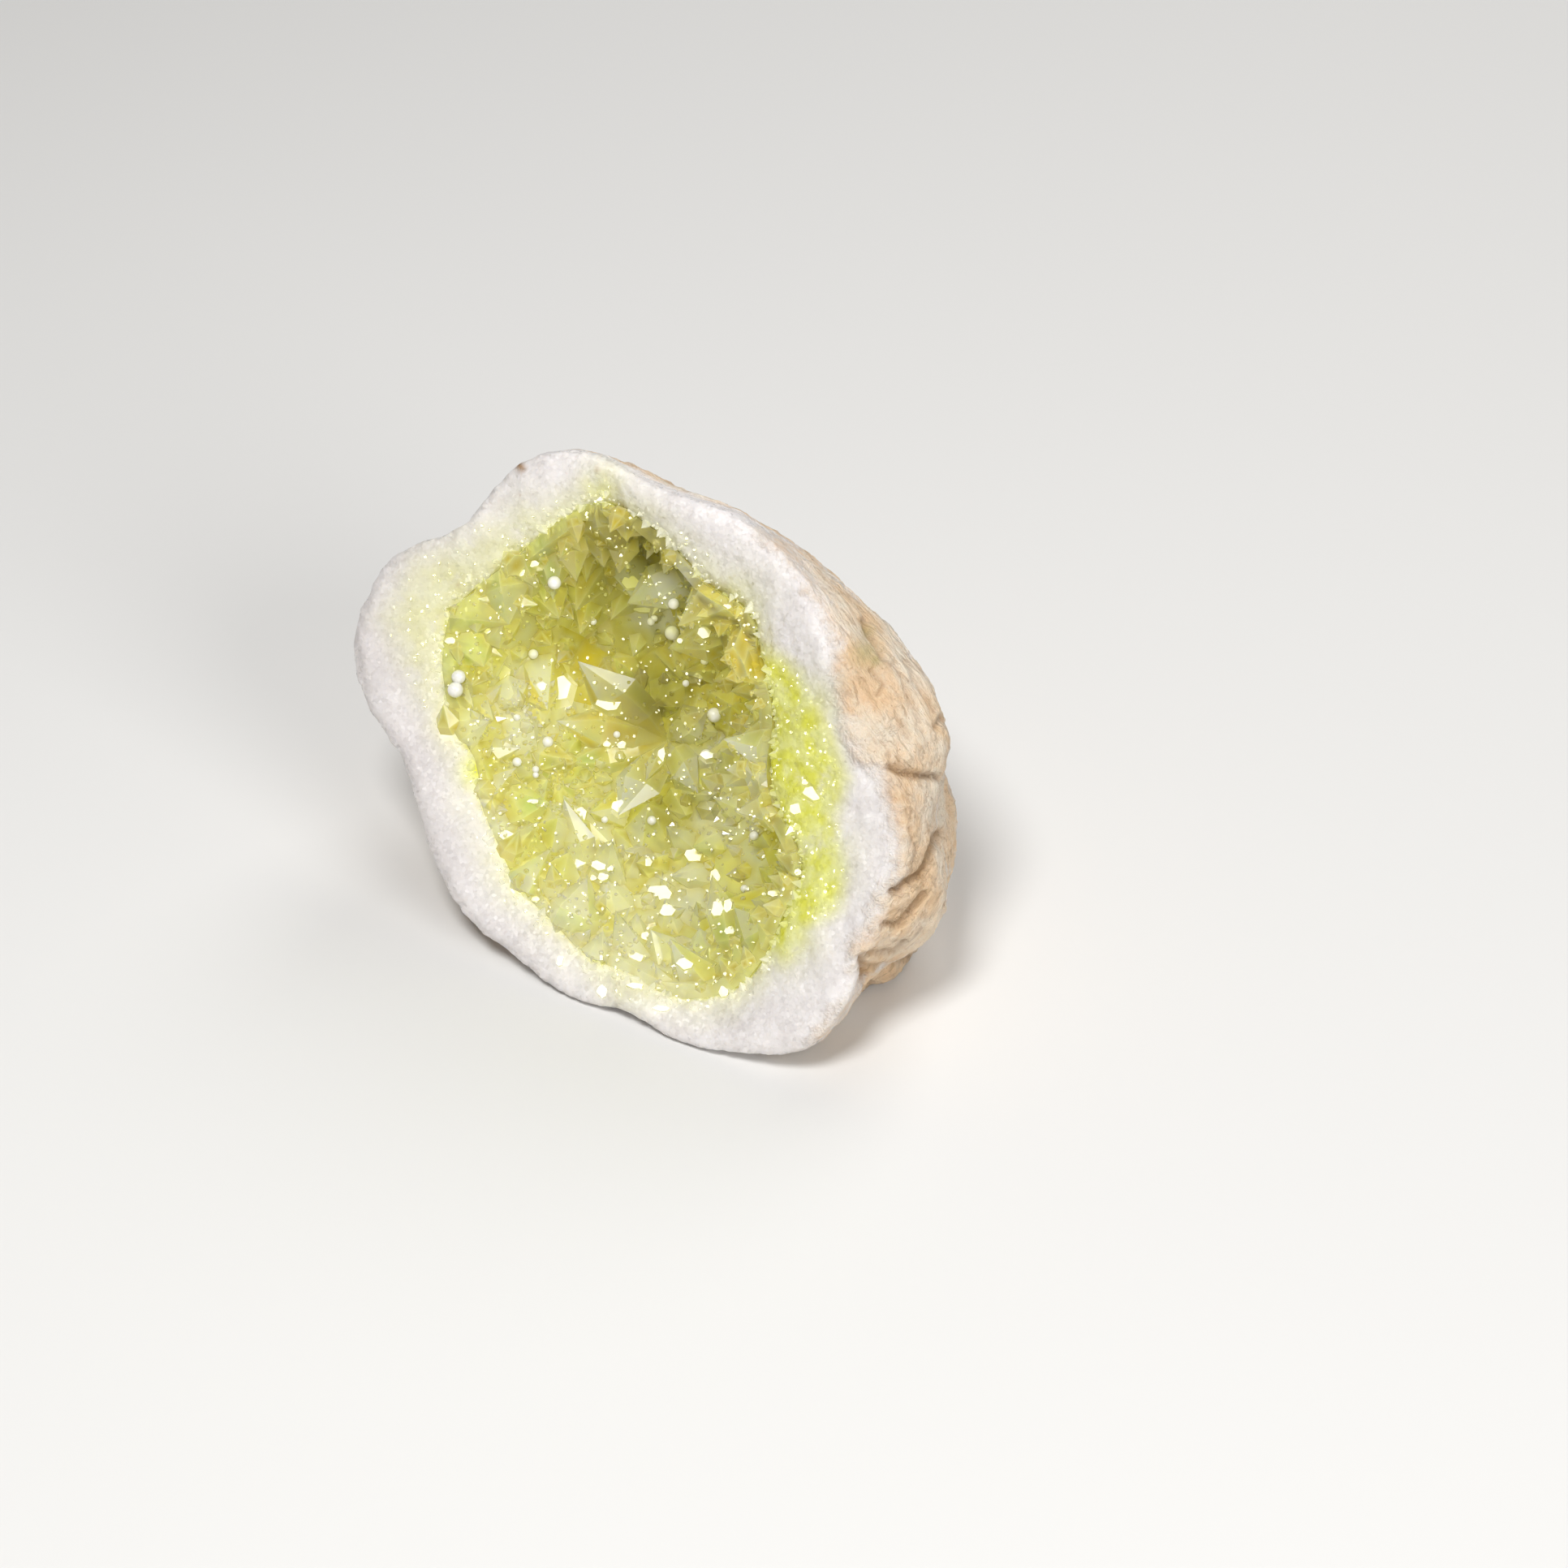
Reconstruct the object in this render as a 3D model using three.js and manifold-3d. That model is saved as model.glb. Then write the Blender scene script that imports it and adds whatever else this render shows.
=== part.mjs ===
// Half of a broken crystal-lined geode, resting on its flattened underside with the hollow tipped up.
// Units are millimetres, +Z up. The origin is the middle of the bounding box at the resting face.
//
// The stone is modelled in a bowl frame: the broken face lies near its XY plane, +Z points out of
// the hollow, and the angle round the bowl is measured from +X towards +Y.

import * as THREE from "three";
import { mergeVertices } from "three/addons/utils/BufferGeometryUtils.js";
import Module from "manifold-3d";

const wasm = await Module();
wasm.setup();

// Driving dimensions

const FACE_LIFT = 26.6; // degrees that the broken face looks up above the horizon
const FACE_TURN = 30.5; // degrees that it is turned from -Y towards -X
const FACE_HEIGHT = 29.5; // height of the face's centre above the resting face

const BOWL_DEPTH = 42; // from the broken face to the back of the rind
const BOWL_BACK = [2, -4]; // where the back of the rind is, across the face
const BOWL_ROUNDNESS = 0.95; // under 1 the sides stay full before they turn in to the back
const BOWL_BULGE = 3; // how far one side swells past the broken edge
const BULGE_SIDE = -15; // degrees round the bowl to that side
const LUMP_SIZE = 13; // spacing of the rind's natural lumps
const LUMP_RISE = 2.4; // and their height
const FACE_CROWN = 1; // how far the broken face stands above its rounded edge
const FACE_RELIEF = 0.7; // unevenness of the broken face
const FACE_RELIEF_SIZE = 5; // and its spacing

const HOLLOW_DEPTH = 25; // from the broken face to the floor of the hollow
const HOLLOW_CENTRE = [-1, -1];
const HOLLOW_ROUNDNESS = 0.62;

const CRUST_GAP = 0.35; // between the wall of the hollow and the crust on it
const CRUST_THICKNESS = 2.4; // on the floor of the hollow
const CRUST_EDGE = 0.9; // and at its lip

const COLUMNS = 60; // round the bowl
const RIND_RINGS = 12;
const FACE_SHARES = [0.14, 0.4, 0.72]; // rings of the face, from its edge to the lip
const HOLLOW_RINGS = 6;
const CRUST_COLUMNS = 28;
const CRUST_RINGS = 5;

// Outer edge of the broken face: across, up, and out of the face
const BROKEN_EDGE = [
  [38.5, -3, -1],
  [38, 2.5, -2],
  [35.5, 6, -2],
  [33, 8.5, -1.5],
  [30, 11, -1],
  [27, 13.5, 0],
  [25, 18, 0],
  [23, 22.5, 0],
  [17.5, 28.5, 0],
  [8.5, 33, 0],
  [-0.5, 32, 0],
  [-13, 34.5, 0],
  [-17.5, 34, 0],
  [-24.5, 29.5, 0],
  [-27, 24.5, 0],
  [-29.5, 20, 0],
  [-38.3, 14.5, 0],
  [-40.5, 9, 0],
  [-41.6, 3, 0],
  [-40, -2.8, 0],
  [-35.3, -7.5, 0],
  [-31, -10, 0],
  [-27.7, -14.5, 0],
  [-23, -21.5, 0],
  [-17, -27, 0],
  [-9.5, -29.4, 0],
  [1.5, -32.3, 0],
  [8.5, -30.5, 0],
  [15.5, -32.5, 0],
  [24.5, -30.5, 0],
  [33, -27.5, 0],
  [36.5, -21, 0],
  [36.5, -15, -0.5],
  [38, -8, -1],
];

// Lip of the hollow, where the pale wall gives way to crystals
const HOLLOW_LIP = [
  [19, -1, -4],
  [17, 3, -4],
  [16, 10, -4],
  [12, 18, -3],
  [11, 21, -3],
  [4, 23, -2],
  [0, 25.5, -2],
  [-6, 28, -2],
  [-12, 28.5, -2],
  [-16, 25.5, -2],
  [-20, 21, -2],
  [-24, 16, -2],
  [-29, 9, -2],
  [-29, 3.5, -2],
  [-26, -3.5, -2],
  [-21, -8, -2],
  [-19, -13, -2],
  [-15.5, -17, -2],
  [-11, -21.5, -2],
  [-5.5, -24, -2],
  [0.5, -26.5, -1.5],
  [7, -26.5, -1.5],
  [13, -27.5, -1.5],
  [20, -24.5, -2],
  [23, -20, -2],
  [24.5, -13, -2],
  [25, -6, -3],
];

// Knobs and creases of the rind: across, up, out, reach and rise
const RIND_KNOBS = [
  [31, 14, -12, 8.5, 9],
  [36, 4, -17, 7, -3.5],
  [41, -8, -12, 6, 3],
  [40, -14, -11, 5, 2.5],
  [35, -24, -14, 8, -6],
  [12, 30, -9, 8, -1.5],
  [1, 31, -4, 5, 1.8],
];

const CRYSTAL_COUNT = 172;
const CRYSTAL_WIDTH = [4.4, 9.5]; // across the corners, smallest and largest
const CRYSTAL_TALLNESS = [0.35, 0.8]; // height over width
const CRYSTAL_LEAN = 24; // degrees that a crystal may lean from square
const CRYSTAL_ROOT = 1.5; // how deep a crystal starts in the crust
const CRYSTAL_SHOULDER = 0.35; // where its pointed end begins, as a share of its height
const CRYSTAL_OFF_CENTRE = 0.25; // how far its point may stand off its middle, over its width
const SHOULDERED_SHARE = 0.35; // crystals that show their sides, and not only their points
const SMALL_BIAS = 1.6; // over 1, small crystals are commoner than large ones

// The star of blades on the floor of the hollow: where they meet, then tip, width and thickness of each
const STAR = [-5.5, -2.6, -22];
const STAR_BLADES = [
  [[-15, 6.3, -11], 7.5, 3.2],
  [[-16.4, -2.2, -11.5], 6.5, 3],
  [[-14.5, -7.5, -13], 5, 2.6],
  [[-5.5, -11.6, -13], 6.5, 3],
  [[-3.8, -6.7, -15], 2.6, 2],
  [[3.4, -6, -16], 5.5, 3],
  [[1.5, 4.5, -17], 5, 3],
];

// Other blades that stand out: foot, tip, width and thickness
const LONE_BLADES = [
  [[17, -23.5, -9], [11.5, -12.9, -8], 4.5, 3.5],
  [[-7, -22.5, -13], [-11, -10.5, -8], 6, 3.4],
  [[-19, 24.5, -7], [-14.5, 17.5, -5], 5, 3.2],
  [[-11.5, 27.5, -8], [-10.5, 19.5, -8], 5, 3],
  [[-24.5, 13.5, -8], [-19.5, 17, -3], 5, 3.6],
  [[-28, 5.5, -8], [-22.5, 9.5, -3.5], 5, 3.6],
  [[-3, 22.5, -15], [-10, 15.5, -11], 6, 3.2],
  [[3.5, 16, -20], [-4.5, 11, -14], 6, 3.4],
];

const CRYSTAL_SIDES = 6;
const BLADE_PROFILE = [
  [0, 0],
  [0.84, 0.3],
  [1, 0.6],
  [0, 1],
]; // half width and length, as shares
const AREA_STEPS = 200; // for measuring the hollow
const MERGE_DISTANCE = 1e-4;
const OUTLINE_SAMPLES = 1440;
const SEED = 11;

// Helpers

function seededRandom(seed) {
  let state = seed;
  return () => {
    state = (state + 0x6d2b79f5) | 0;
    let t = Math.imul(state ^ (state >>> 15), 1 | state);
    t = (t + Math.imul(t ^ (t >>> 7), 61 | t)) ^ t;
    return ((t ^ (t >>> 14)) >>> 0) / 4294967296;
  };
}

// Smooth noise from -1 to 1, about one lump to each unit of length.
function lumpNoise(x, y, z) {
  const corner = (i, j, k) => {
    const s = Math.sin(i * 127.1 + j * 311.7 + k * 74.7) * 43758.5453;
    return 2 * (s - Math.floor(s)) - 1;
  };
  const [i, j, k] = [x, y, z].map(Math.floor);
  const [a, b, c] = [x - i, y - j, z - k].map((t) => t * t * (3 - 2 * t));
  const along = (m, n) => THREE.MathUtils.lerp(corner(i, m, n), corner(i + 1, m, n), a);
  const across = (n) => THREE.MathUtils.lerp(along(j, n), along(j + 1, n), b);
  return THREE.MathUtils.lerp(across(k), across(k + 1), c);
}

// A closed outline through the points, read by angle about a centre: gives radius and height.
function outlineByAngle(points, centre) {
  const curve = new THREE.CatmullRomCurve3(
    points.map(([x, y, z]) => new THREE.Vector3(x - centre[0], y - centre[1], z)),
    true,
    "centripetal",
  );
  const samples = curve.getPoints(OUTLINE_SAMPLES).map((p) => ({
    angle: Math.atan2(p.y, p.x),
    radius: Math.hypot(p.x, p.y),
    height: p.z,
  }));
  return (angle) => {
    const apart = (s) => Math.abs(Math.atan2(Math.sin(s.angle - angle), Math.cos(s.angle - angle)));
    return samples.reduce((best, s) => (apart(s) < apart(best) ? s : best));
  };
}

// A closed surface from a first pole, through rings of equal length, to a last pole.
function closedFromRings(firstPole, rings, lastPole) {
  const count = rings[0].length;
  const points = [firstPole, ...rings.flat(), lastPole];
  const index = [];
  const at = (ring, column) => 1 + ring * count + (column % count);
  for (let c = 0; c < count; c++) {
    index.push(0, at(0, c + 1), at(0, c));
    for (let r = 0; r + 1 < rings.length; r++) {
      index.push(at(r, c), at(r, c + 1), at(r + 1, c + 1));
      index.push(at(r, c), at(r + 1, c + 1), at(r + 1, c));
    }
    index.push(points.length - 1, at(rings.length - 1, c), at(rings.length - 1, c + 1));
  }
  return new THREE.BufferGeometry().setFromPoints(points).setIndex(index);
}

function solidOf(geometry) {
  const bare = geometry.clone();
  bare.deleteAttribute("normal");
  bare.deleteAttribute("uv");
  const merged = mergeVertices(bare, MERGE_DISTANCE);
  const corners = merged.index.array;
  const triangles = [];
  for (let i = 0; i < corners.length; i += 3) {
    const [a, b, c] = corners.subarray(i, i + 3);
    if (a !== b && b !== c && c !== a) triangles.push(a, b, c);
  }
  return new wasm.Manifold(
    new wasm.Mesh({
      numProp: 3,
      vertProperties: new Float32Array(merged.attributes.position.array),
      triVerts: new Uint32Array(triangles),
    }),
  );
}

function geometryOf(solid) {
  const { vertProperties, triVerts } = solid.getMesh();
  return new THREE.BufferGeometry()
    .setAttribute("position", new THREE.BufferAttribute(vertProperties, 3))
    .setIndex(new THREE.BufferAttribute(triVerts, 1));
}

// Surfaces of the bowl

const brokenEdge = outlineByAngle(BROKEN_EDGE, [0, 0]);
const hollowLip = outlineByAngle(HOLLOW_LIP, HOLLOW_CENTRE);
const turnsOf = (count) => Array.from({ length: count }, (_, c) => (c / count) * 2 * Math.PI);

// turn is the angle round the bowl, and fall goes from 0 at the broken edge to 90 degrees at the back.
function rindPoint(turn, fall) {
  const edge = brokenEdge(turn);
  const down = Math.sin(fall);
  const level = Math.cos(fall);
  const bulge = BOWL_BULGE * Math.max(0, Math.cos(turn - THREE.MathUtils.degToRad(BULGE_SIDE)));
  const reach = edge.radius * level ** BOWL_ROUNDNESS + bulge * Math.sin(2 * fall);
  const p = new THREE.Vector3(
    BOWL_BACK[0] * down + reach * Math.cos(turn),
    BOWL_BACK[1] * down + reach * Math.sin(turn),
    edge.height * (1 - down) - BOWL_DEPTH * down,
  );
  const outward = new THREE.Vector3(level * Math.cos(turn), level * Math.sin(turn), -down);
  const [x, y, z] = p.clone().divideScalar(LUMP_SIZE).toArray();
  let rise = LUMP_RISE * down * (lumpNoise(x, y, z) + lumpNoise(2 * x, 2 * y, 2 * z) / 2);
  for (const [kx, ky, kz, knobReach, knobRise] of RIND_KNOBS) {
    const far = p.distanceTo(new THREE.Vector3(kx, ky, kz)) / knobReach;
    rise += knobRise * Math.exp(-far * far);
  }
  return p.addScaledVector(outward, rise);
}

// share goes from 0 at the broken edge to 1 at the lip of the hollow.
function facePoint(turn, share) {
  const edge = rindPoint(turn, 0);
  const lip = hollowPoint(turn, 0, 0);
  const p = edge.lerp(lip, share);
  const [x, y] = [p.x / FACE_RELIEF_SIZE, p.y / FACE_RELIEF_SIZE];
  p.z += FACE_CROWN * Math.sin(Math.PI * Math.sqrt(share)) + FACE_RELIEF * lumpNoise(x, y, 0);
  return p;
}

// fall goes from 0 at the lip to 90 degrees at the floor, and inset is how far off the wall.
function hollowPoint(turn, fall, inset) {
  const lip = hollowLip(turn);
  const down = Math.sin(fall);
  const level = Math.cos(fall);
  const reach = Math.max(0, lip.radius * level ** HOLLOW_ROUNDNESS - inset * level);
  return new THREE.Vector3(
    HOLLOW_CENTRE[0] + reach * Math.cos(turn),
    HOLLOW_CENTRE[1] + reach * Math.sin(turn),
    lip.height * (1 - down) - HOLLOW_DEPTH * down + inset * down,
  );
}

const QUARTER_TURN = Math.PI / 2;
const GOLDEN_ANGLE = Math.PI * (3 - Math.sqrt(5));
const UPRIGHT = new THREE.Vector3(0, 1, 0);
const OUT_OF_FACE = new THREE.Vector3(0, 0, 1);
const ringOf = (pointAt) => turnsOf(COLUMNS).map(pointAt);
const steps = (count) => Array.from({ length: count }, (_, i) => i / count);

// Stone: the rind outside, the broken face and the wall of the hollow, grown as one piece

const toRest = new THREE.Matrix4()
  .makeRotationZ(THREE.MathUtils.degToRad(-FACE_TURN))
  .multiply(new THREE.Matrix4().makeRotationX(THREE.MathUtils.degToRad(90 - FACE_LIFT)));

function stoneSolid() {
  const rind = steps(RIND_RINGS).reverse();
  const hollow = steps(HOLLOW_RINGS);
  const bowl = closedFromRings(
    rindPoint(0, QUARTER_TURN),
    [
      ...rind.map((s) => ringOf((turn) => rindPoint(turn, s * QUARTER_TURN))),
      ...FACE_SHARES.map((s) => ringOf((turn) => facePoint(turn, s))),
      ...hollow.map((s) => ringOf((turn) => hollowPoint(turn, s * QUARTER_TURN, 0))),
    ],
    hollowPoint(0, QUARTER_TURN, 0),
  );
  const block = 4 * BOWL_DEPTH;
  const table = new THREE.BoxGeometry(block, block, block)
    .translate(0, 0, -FACE_HEIGHT - block / 2)
    .applyMatrix4(toRest.clone().invert());
  return solidOf(bowl).subtract(solidOf(table));
}

// Crystals: one crust of them, lining the hollow

// How far off the wall the face of the crust is, under its crystals.
function crustInset(fall) {
  return CRUST_GAP + THREE.MathUtils.lerp(CRUST_EDGE, CRUST_THICKNESS, Math.sin(fall));
}

// A six-sided crystal with a pointed end, standing on +Y. The tip is off centre, so its faces differ.
function crystalGeometry(width, height, tip, shouldered) {
  const shoulder = shouldered ? height * CRYSTAL_SHOULDER : 0;
  const sides = shouldered ? [new THREE.Vector2(width / 2, 0)] : [];
  const profile = [
    new THREE.Vector2(0, 0),
    ...sides,
    new THREE.Vector2(width / 2, shoulder),
    new THREE.Vector2(0, height),
  ];
  const geometry = new THREE.LatheGeometry(profile, CRYSTAL_SIDES);
  const position = geometry.attributes.position;
  for (let i = 0; i < position.count; i++) {
    const atTip = position.getY(i) > (shoulder + height) / 2;
    if (atTip) position.setXYZ(i, tip.x * width, height, tip.y * width);
  }
  return geometry;
}

function placedCrystal(random, turn, fall) {
  const between = ([low, high], share) => low + (high - low) * share;
  const width = between(CRYSTAL_WIDTH, random() ** SMALL_BIAS);
  const height = width * between(CRYSTAL_TALLNESS, random()) + CRYSTAL_ROOT;
  const tip = new THREE.Vector2(random() - 0.5, random() - 0.5).multiplyScalar(2 * CRYSTAL_OFF_CENTRE);
  const shouldered = random() < SHOULDERED_SHARE;
  const root = hollowPoint(turn, fall, crustInset(fall) - CRYSTAL_ROOT);
  const square = hollowPoint(turn, fall, 1).sub(hollowPoint(turn, fall, 0)).normalize();
  const lean = new THREE.Vector3(random() - 0.5, random() - 0.5, random() - 0.5);
  const axis = square.addScaledVector(lean, 2 * Math.sin(THREE.MathUtils.degToRad(CRYSTAL_LEAN)));
  const standing = new THREE.Quaternion().setFromUnitVectors(UPRIGHT, axis.normalize());
  const spin = new THREE.Quaternion().setFromAxisAngle(UPRIGHT, random() * 2 * Math.PI);
  const geometry = crystalGeometry(width, height, tip, shouldered)
    .applyQuaternion(standing.multiply(spin))
    .translate(...root);
  return solidOf(geometry);
}

// A flat blade, pointed at both ends, with its broad side towards the mouth of the hollow.
function placedBlade(foot, tip, width, thickness) {
  const from = new THREE.Vector3(...foot);
  const along = new THREE.Vector3(...tip).sub(from);
  const length = along.length();
  const profile = BLADE_PROFILE.map(([out, up]) => new THREE.Vector2((out * width) / 2, up * length));
  const y = along.normalize();
  const x = y.clone().cross(OUT_OF_FACE).normalize();
  const z = x.clone().cross(y);
  const geometry = new THREE.LatheGeometry(profile, CRYSTAL_SIDES, Math.PI / CRYSTAL_SIDES)
    .scale(1, 1, thickness / width)
    .applyMatrix4(new THREE.Matrix4().makeBasis(x, y, z))
    .translate(...from);
  return solidOf(geometry);
}

// Places spread evenly over the hollow, from its lip to its floor, each as a turn and a fall.
function spreadPlaces(count) {
  const lips = turnsOf(COLUMNS).map((turn) => hollowLip(turn).radius);
  const radius = lips.reduce((sum, lip) => sum + lip) / COLUMNS;
  const at = (fall) =>
    new THREE.Vector2(radius * Math.cos(fall) ** HOLLOW_ROUNDNESS, HOLLOW_DEPTH * Math.sin(fall));
  const stepSize = QUARTER_TURN / AREA_STEPS;
  const areas = steps(AREA_STEPS).map((s) => {
    const [upper, lower] = [at(s * QUARTER_TURN), at(s * QUARTER_TURN + stepSize)];
    return upper.distanceTo(lower) * (upper.x + lower.x);
  });
  const perPlace = areas.reduce((sum, area) => sum + area) / count;
  const places = [];
  let passed = perPlace / 2;
  areas.forEach((area, i) => {
    for (passed += area; passed >= perPlace; passed -= perPlace) {
      places.push([places.length * GOLDEN_ANGLE, (i + 0.5) * stepSize]);
    }
  });
  return places;
}

function crustSolid() {
  const columns = turnsOf(CRUST_COLUMNS);
  const falls = steps(CRUST_RINGS).map((s) => s * QUARTER_TURN);
  const back = falls.map((fall) => columns.map((turn) => hollowPoint(turn, fall, -CRUST_EDGE)));
  const front = falls.map((fall) => columns.map((turn) => hollowPoint(turn, fall, crustInset(fall))));
  const bed = solidOf(
    closedFromRings(
      hollowPoint(0, QUARTER_TURN, -CRUST_EDGE),
      [...back.toReversed(), ...front],
      hollowPoint(0, QUARTER_TURN, crustInset(QUARTER_TURN)),
    ),
  );
  const random = seededRandom(SEED);
  const grown = [
    ...STAR_BLADES.map(([tip, width, thickness]) => placedBlade(STAR, tip, width, thickness)),
    ...LONE_BLADES.map((blade) => placedBlade(...blade)),
    ...spreadPlaces(CRYSTAL_COUNT).map(([turn, fall]) => placedCrystal(random, turn, fall)),
  ];
  return grown.reduce((crust, crystal) => crust.add(crystal), bed).intersect(freeHollow());
}

// What the stone leaves free for crystals: the hollow, and the space far out of its mouth.
function freeHollow() {
  const wall = steps(HOLLOW_RINGS)
    .reverse()
    .map((s) => ringOf((turn) => hollowPoint(turn, s * QUARTER_TURN, CRUST_GAP)));
  const outside = wall.at(-1).map((p) => p.clone().setZ(BOWL_DEPTH));
  return solidOf(
    closedFromRings(
      hollowPoint(0, QUARTER_TURN, CRUST_GAP),
      [...wall, outside],
      new THREE.Vector3(...HOLLOW_CENTRE, BOWL_DEPTH),
    ),
  );
}

// Assembly

const stone = new THREE.Mesh(
  geometryOf(stoneSolid()),
  new THREE.MeshStandardMaterial({ color: 0xe6d5bf, roughness: 0.8, metalness: 0 }),
);
stone.name = "stone_shell";

const crystals = new THREE.Mesh(
  geometryOf(crustSolid()),
  new THREE.MeshStandardMaterial({
    color: 0xd2cc55,
    roughness: 0.1,
    metalness: 0,
    transparent: true,
    opacity: 0.8,
  }),
);
crystals.name = "crystal_crust";

const bowl = new THREE.Group();
bowl.applyMatrix4(toRest);
bowl.add(stone, crystals);

const geode = new THREE.Group();
geode.add(bowl);
const middle = new THREE.Box3().setFromObject(geode, true).getCenter(new THREE.Vector3());
geode.position.set(-middle.x, -middle.y, FACE_HEIGHT);

export default geode;
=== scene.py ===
"""Crystal-lined geode half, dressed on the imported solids: stone, crystals, druse, beads and a studio."""

import math

import bmesh
import bpy
import numpy as np
from mathutils import Matrix, Vector
from mathutils.bvhtree import BVHTree
from mathutils.kdtree import KDTree


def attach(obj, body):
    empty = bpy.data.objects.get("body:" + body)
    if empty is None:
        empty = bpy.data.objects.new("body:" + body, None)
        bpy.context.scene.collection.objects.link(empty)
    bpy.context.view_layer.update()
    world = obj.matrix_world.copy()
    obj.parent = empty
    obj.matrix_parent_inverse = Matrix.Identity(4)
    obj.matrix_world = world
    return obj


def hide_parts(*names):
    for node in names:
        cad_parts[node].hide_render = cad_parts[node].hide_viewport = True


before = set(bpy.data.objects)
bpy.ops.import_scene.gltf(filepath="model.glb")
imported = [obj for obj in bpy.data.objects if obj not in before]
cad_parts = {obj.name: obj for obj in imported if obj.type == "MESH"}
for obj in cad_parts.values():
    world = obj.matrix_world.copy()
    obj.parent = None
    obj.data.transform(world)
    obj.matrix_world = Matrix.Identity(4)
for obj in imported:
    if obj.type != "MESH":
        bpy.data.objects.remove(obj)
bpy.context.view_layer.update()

bl_info = {
    "name": "Geode Half",
    "version": (1, 0, 0),
    "blender": (4, 5, 0),
    "location": "3D View > Sidebar > Geode",
    "description": "Builds a geode half with a tan rind, a white wall and clear yellow-green crystals",
    "category": "Add Mesh",
}

# The bowl frame: its XY plane is the broken face, and +Z points out of the hollow
FACE_CENTRE = Vector((-0.00295, -0.00631, 0.0295))
FACE_LIFT = math.radians(26.6)
FACE_TURN = math.radians(30.5)
BOWL_AXES = Matrix.Rotation(-FACE_TURN, 3, "Z") @ Matrix.Rotation(math.pi / 2 - FACE_LIFT, 3, "X")

# The photograph's frame: its size, the pixel of the face's centre, and how much a pixel spans there
PHOTO_PIXELS = 1932
FACE_CENTRE_PIXEL = Vector((770, 930))
METRES_PER_PIXEL = 0.0001

# Outlines and lines of the photograph, in pixels across and down
WHITE_FACE = [
    (700, 530), (770, 571), (835, 600), (890, 630), (940, 660), (985, 700), (1012, 740),
    (1032, 790), (1033, 850), (1045, 900), (1060, 935), (1082, 945), (1092, 965), (1100, 1000),
    (1108, 1040), (1102, 1080), (1085, 1105), (1078, 1140), (1050, 1172), (1058, 1210),
    (1038, 1240), (1005, 1285), (970, 1330), (800, 1330), (700, 1280), (540, 1150), (470, 970),
    (400, 820), (430, 680), (560, 630), (610, 550),
]
LIME_BAND = [
    (900, 760), (940, 790), (990, 830), (1022, 890), (1045, 960), (1030, 1010), (1045, 1070),
    (1035, 1120), (985, 1155), (945, 1185), (915, 1200), (880, 1220), (850, 1150), (880, 1000),
    (880, 850),
]
PALE_HAZE = [
    (470, 760), (510, 690), (590, 650), (690, 610), (740, 590), (800, 620), (880, 690), (940, 760),
    (900, 1000), (860, 1250), (760, 1240), (690, 1170), (620, 1110), (590, 1000), (560, 930),
    (510, 850),
]

# Grooves of the rind: the line, its half width in pixels and its depth as a share; the same share darkens
# the groove as painted shadow
RIND_GROOVES = [
    ([(1086, 950), (1096, 945), (1112, 952), (1130, 955), (1150, 957)], 5, 0.9),
    (
        [
            (1082, 1111), (1090, 1100), (1108, 1096), (1114, 1087),
            (1132, 1077), (1142, 1060), (1147, 1042), (1153, 1026),
        ],
        5,
        1.0,
    ),
    ([(1088, 1137), (1105, 1138), (1120, 1124), (1136, 1100)], 4, 0.6),
    ([(1056, 1178), (1075, 1172), (1100, 1170), (1112, 1158)], 4, 0.6),
    ([(1058, 1192), (1090, 1187), (1124, 1178)], 4, 0.7),
    ([(1058, 1176), (1064, 1192), (1066, 1210)], 6, 1.0),
    ([(1063, 764), (1071, 782), (1079, 797), (1085, 812)], 4, 0.7),
    ([(1070, 826), (1086, 845), (1080, 856)], 3, 0.5),
    ([(1098, 818), (1116, 858), (1130, 890)], 3, 0.4),
    ([(1112, 815), (1134, 852), (1150, 876)], 3, 0.4),
    ([(1118, 1020), (1128, 1045), (1124, 1062)], 3, 0.4),
    ([(1160, 880), (1156, 890), (1150, 897)], 4, 0.6),
]

# Spots of the photograph: pixel across and down, reach in pixels and strength
RIND_STAINS = [(1064, 805, 17, 0.9), (1075, 815, 8, 1.0), (1068, 778, 9, 0.7), (1030, 840, 12, 0.5)]
SPECKS = [
    (643, 577, 5, 1.0), (640, 573, 3, 0.7), (735, 578, 3, 0.5), (640, 610, 2, 0.5),
    (565, 720, 3, 0.4),
]
# Painted shade over the left side of the white wall
LEFT_SHADE_SPOTS = [
    (470, 800, 80, 1.0), (500, 930, 80, 1.0), (540, 1060, 70, 0.8), (620, 1170, 60, 0.6),
    (520, 700, 60, 0.6),
]
LIME_SPOTS = [
    (975, 965, 40, 1.0), (960, 1150, 38, 1.0), (1000, 1060, 42, 0.75), (985, 880, 40, 0.8),
    (590, 950, 26, 1.0), (575, 770, 40, 0.5), (740, 605, 30, 0.55), (900, 745, 40, 0.5),
    (655, 660, 40, 0.5),
]
PALE_SPOTS = [
    (770, 1200, 110, 1.0), (690, 1140, 80, 0.9), (840, 1120, 80, 0.85), (740, 1075, 70, 0.8),
    (640, 880, 70, 0.8), (880, 935, 60, 0.8), (815, 735, 50, 0.8), (780, 718, 30, 0.8),
    (720, 1010, 60, 0.6), (890, 1010, 60, 0.8), (800, 1040, 60, 0.6), (600, 1010, 50, 0.7),
    (690, 850, 40, 0.7), (760, 965, 55, 0.6),
]
GOLD_SPOTS = [
    (895, 830, 70, 1.0), (750, 660, 90, 0.9), (830, 690, 70, 0.8), (920, 770, 50, 0.9),
    (905, 1065, 35, 0.9), (660, 850, 22, 0.8), (735, 900, 55, 1.0), (780, 1020, 50, 0.4),
    (720, 800, 70, 0.6), (860, 870, 50, 0.7),
]
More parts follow.
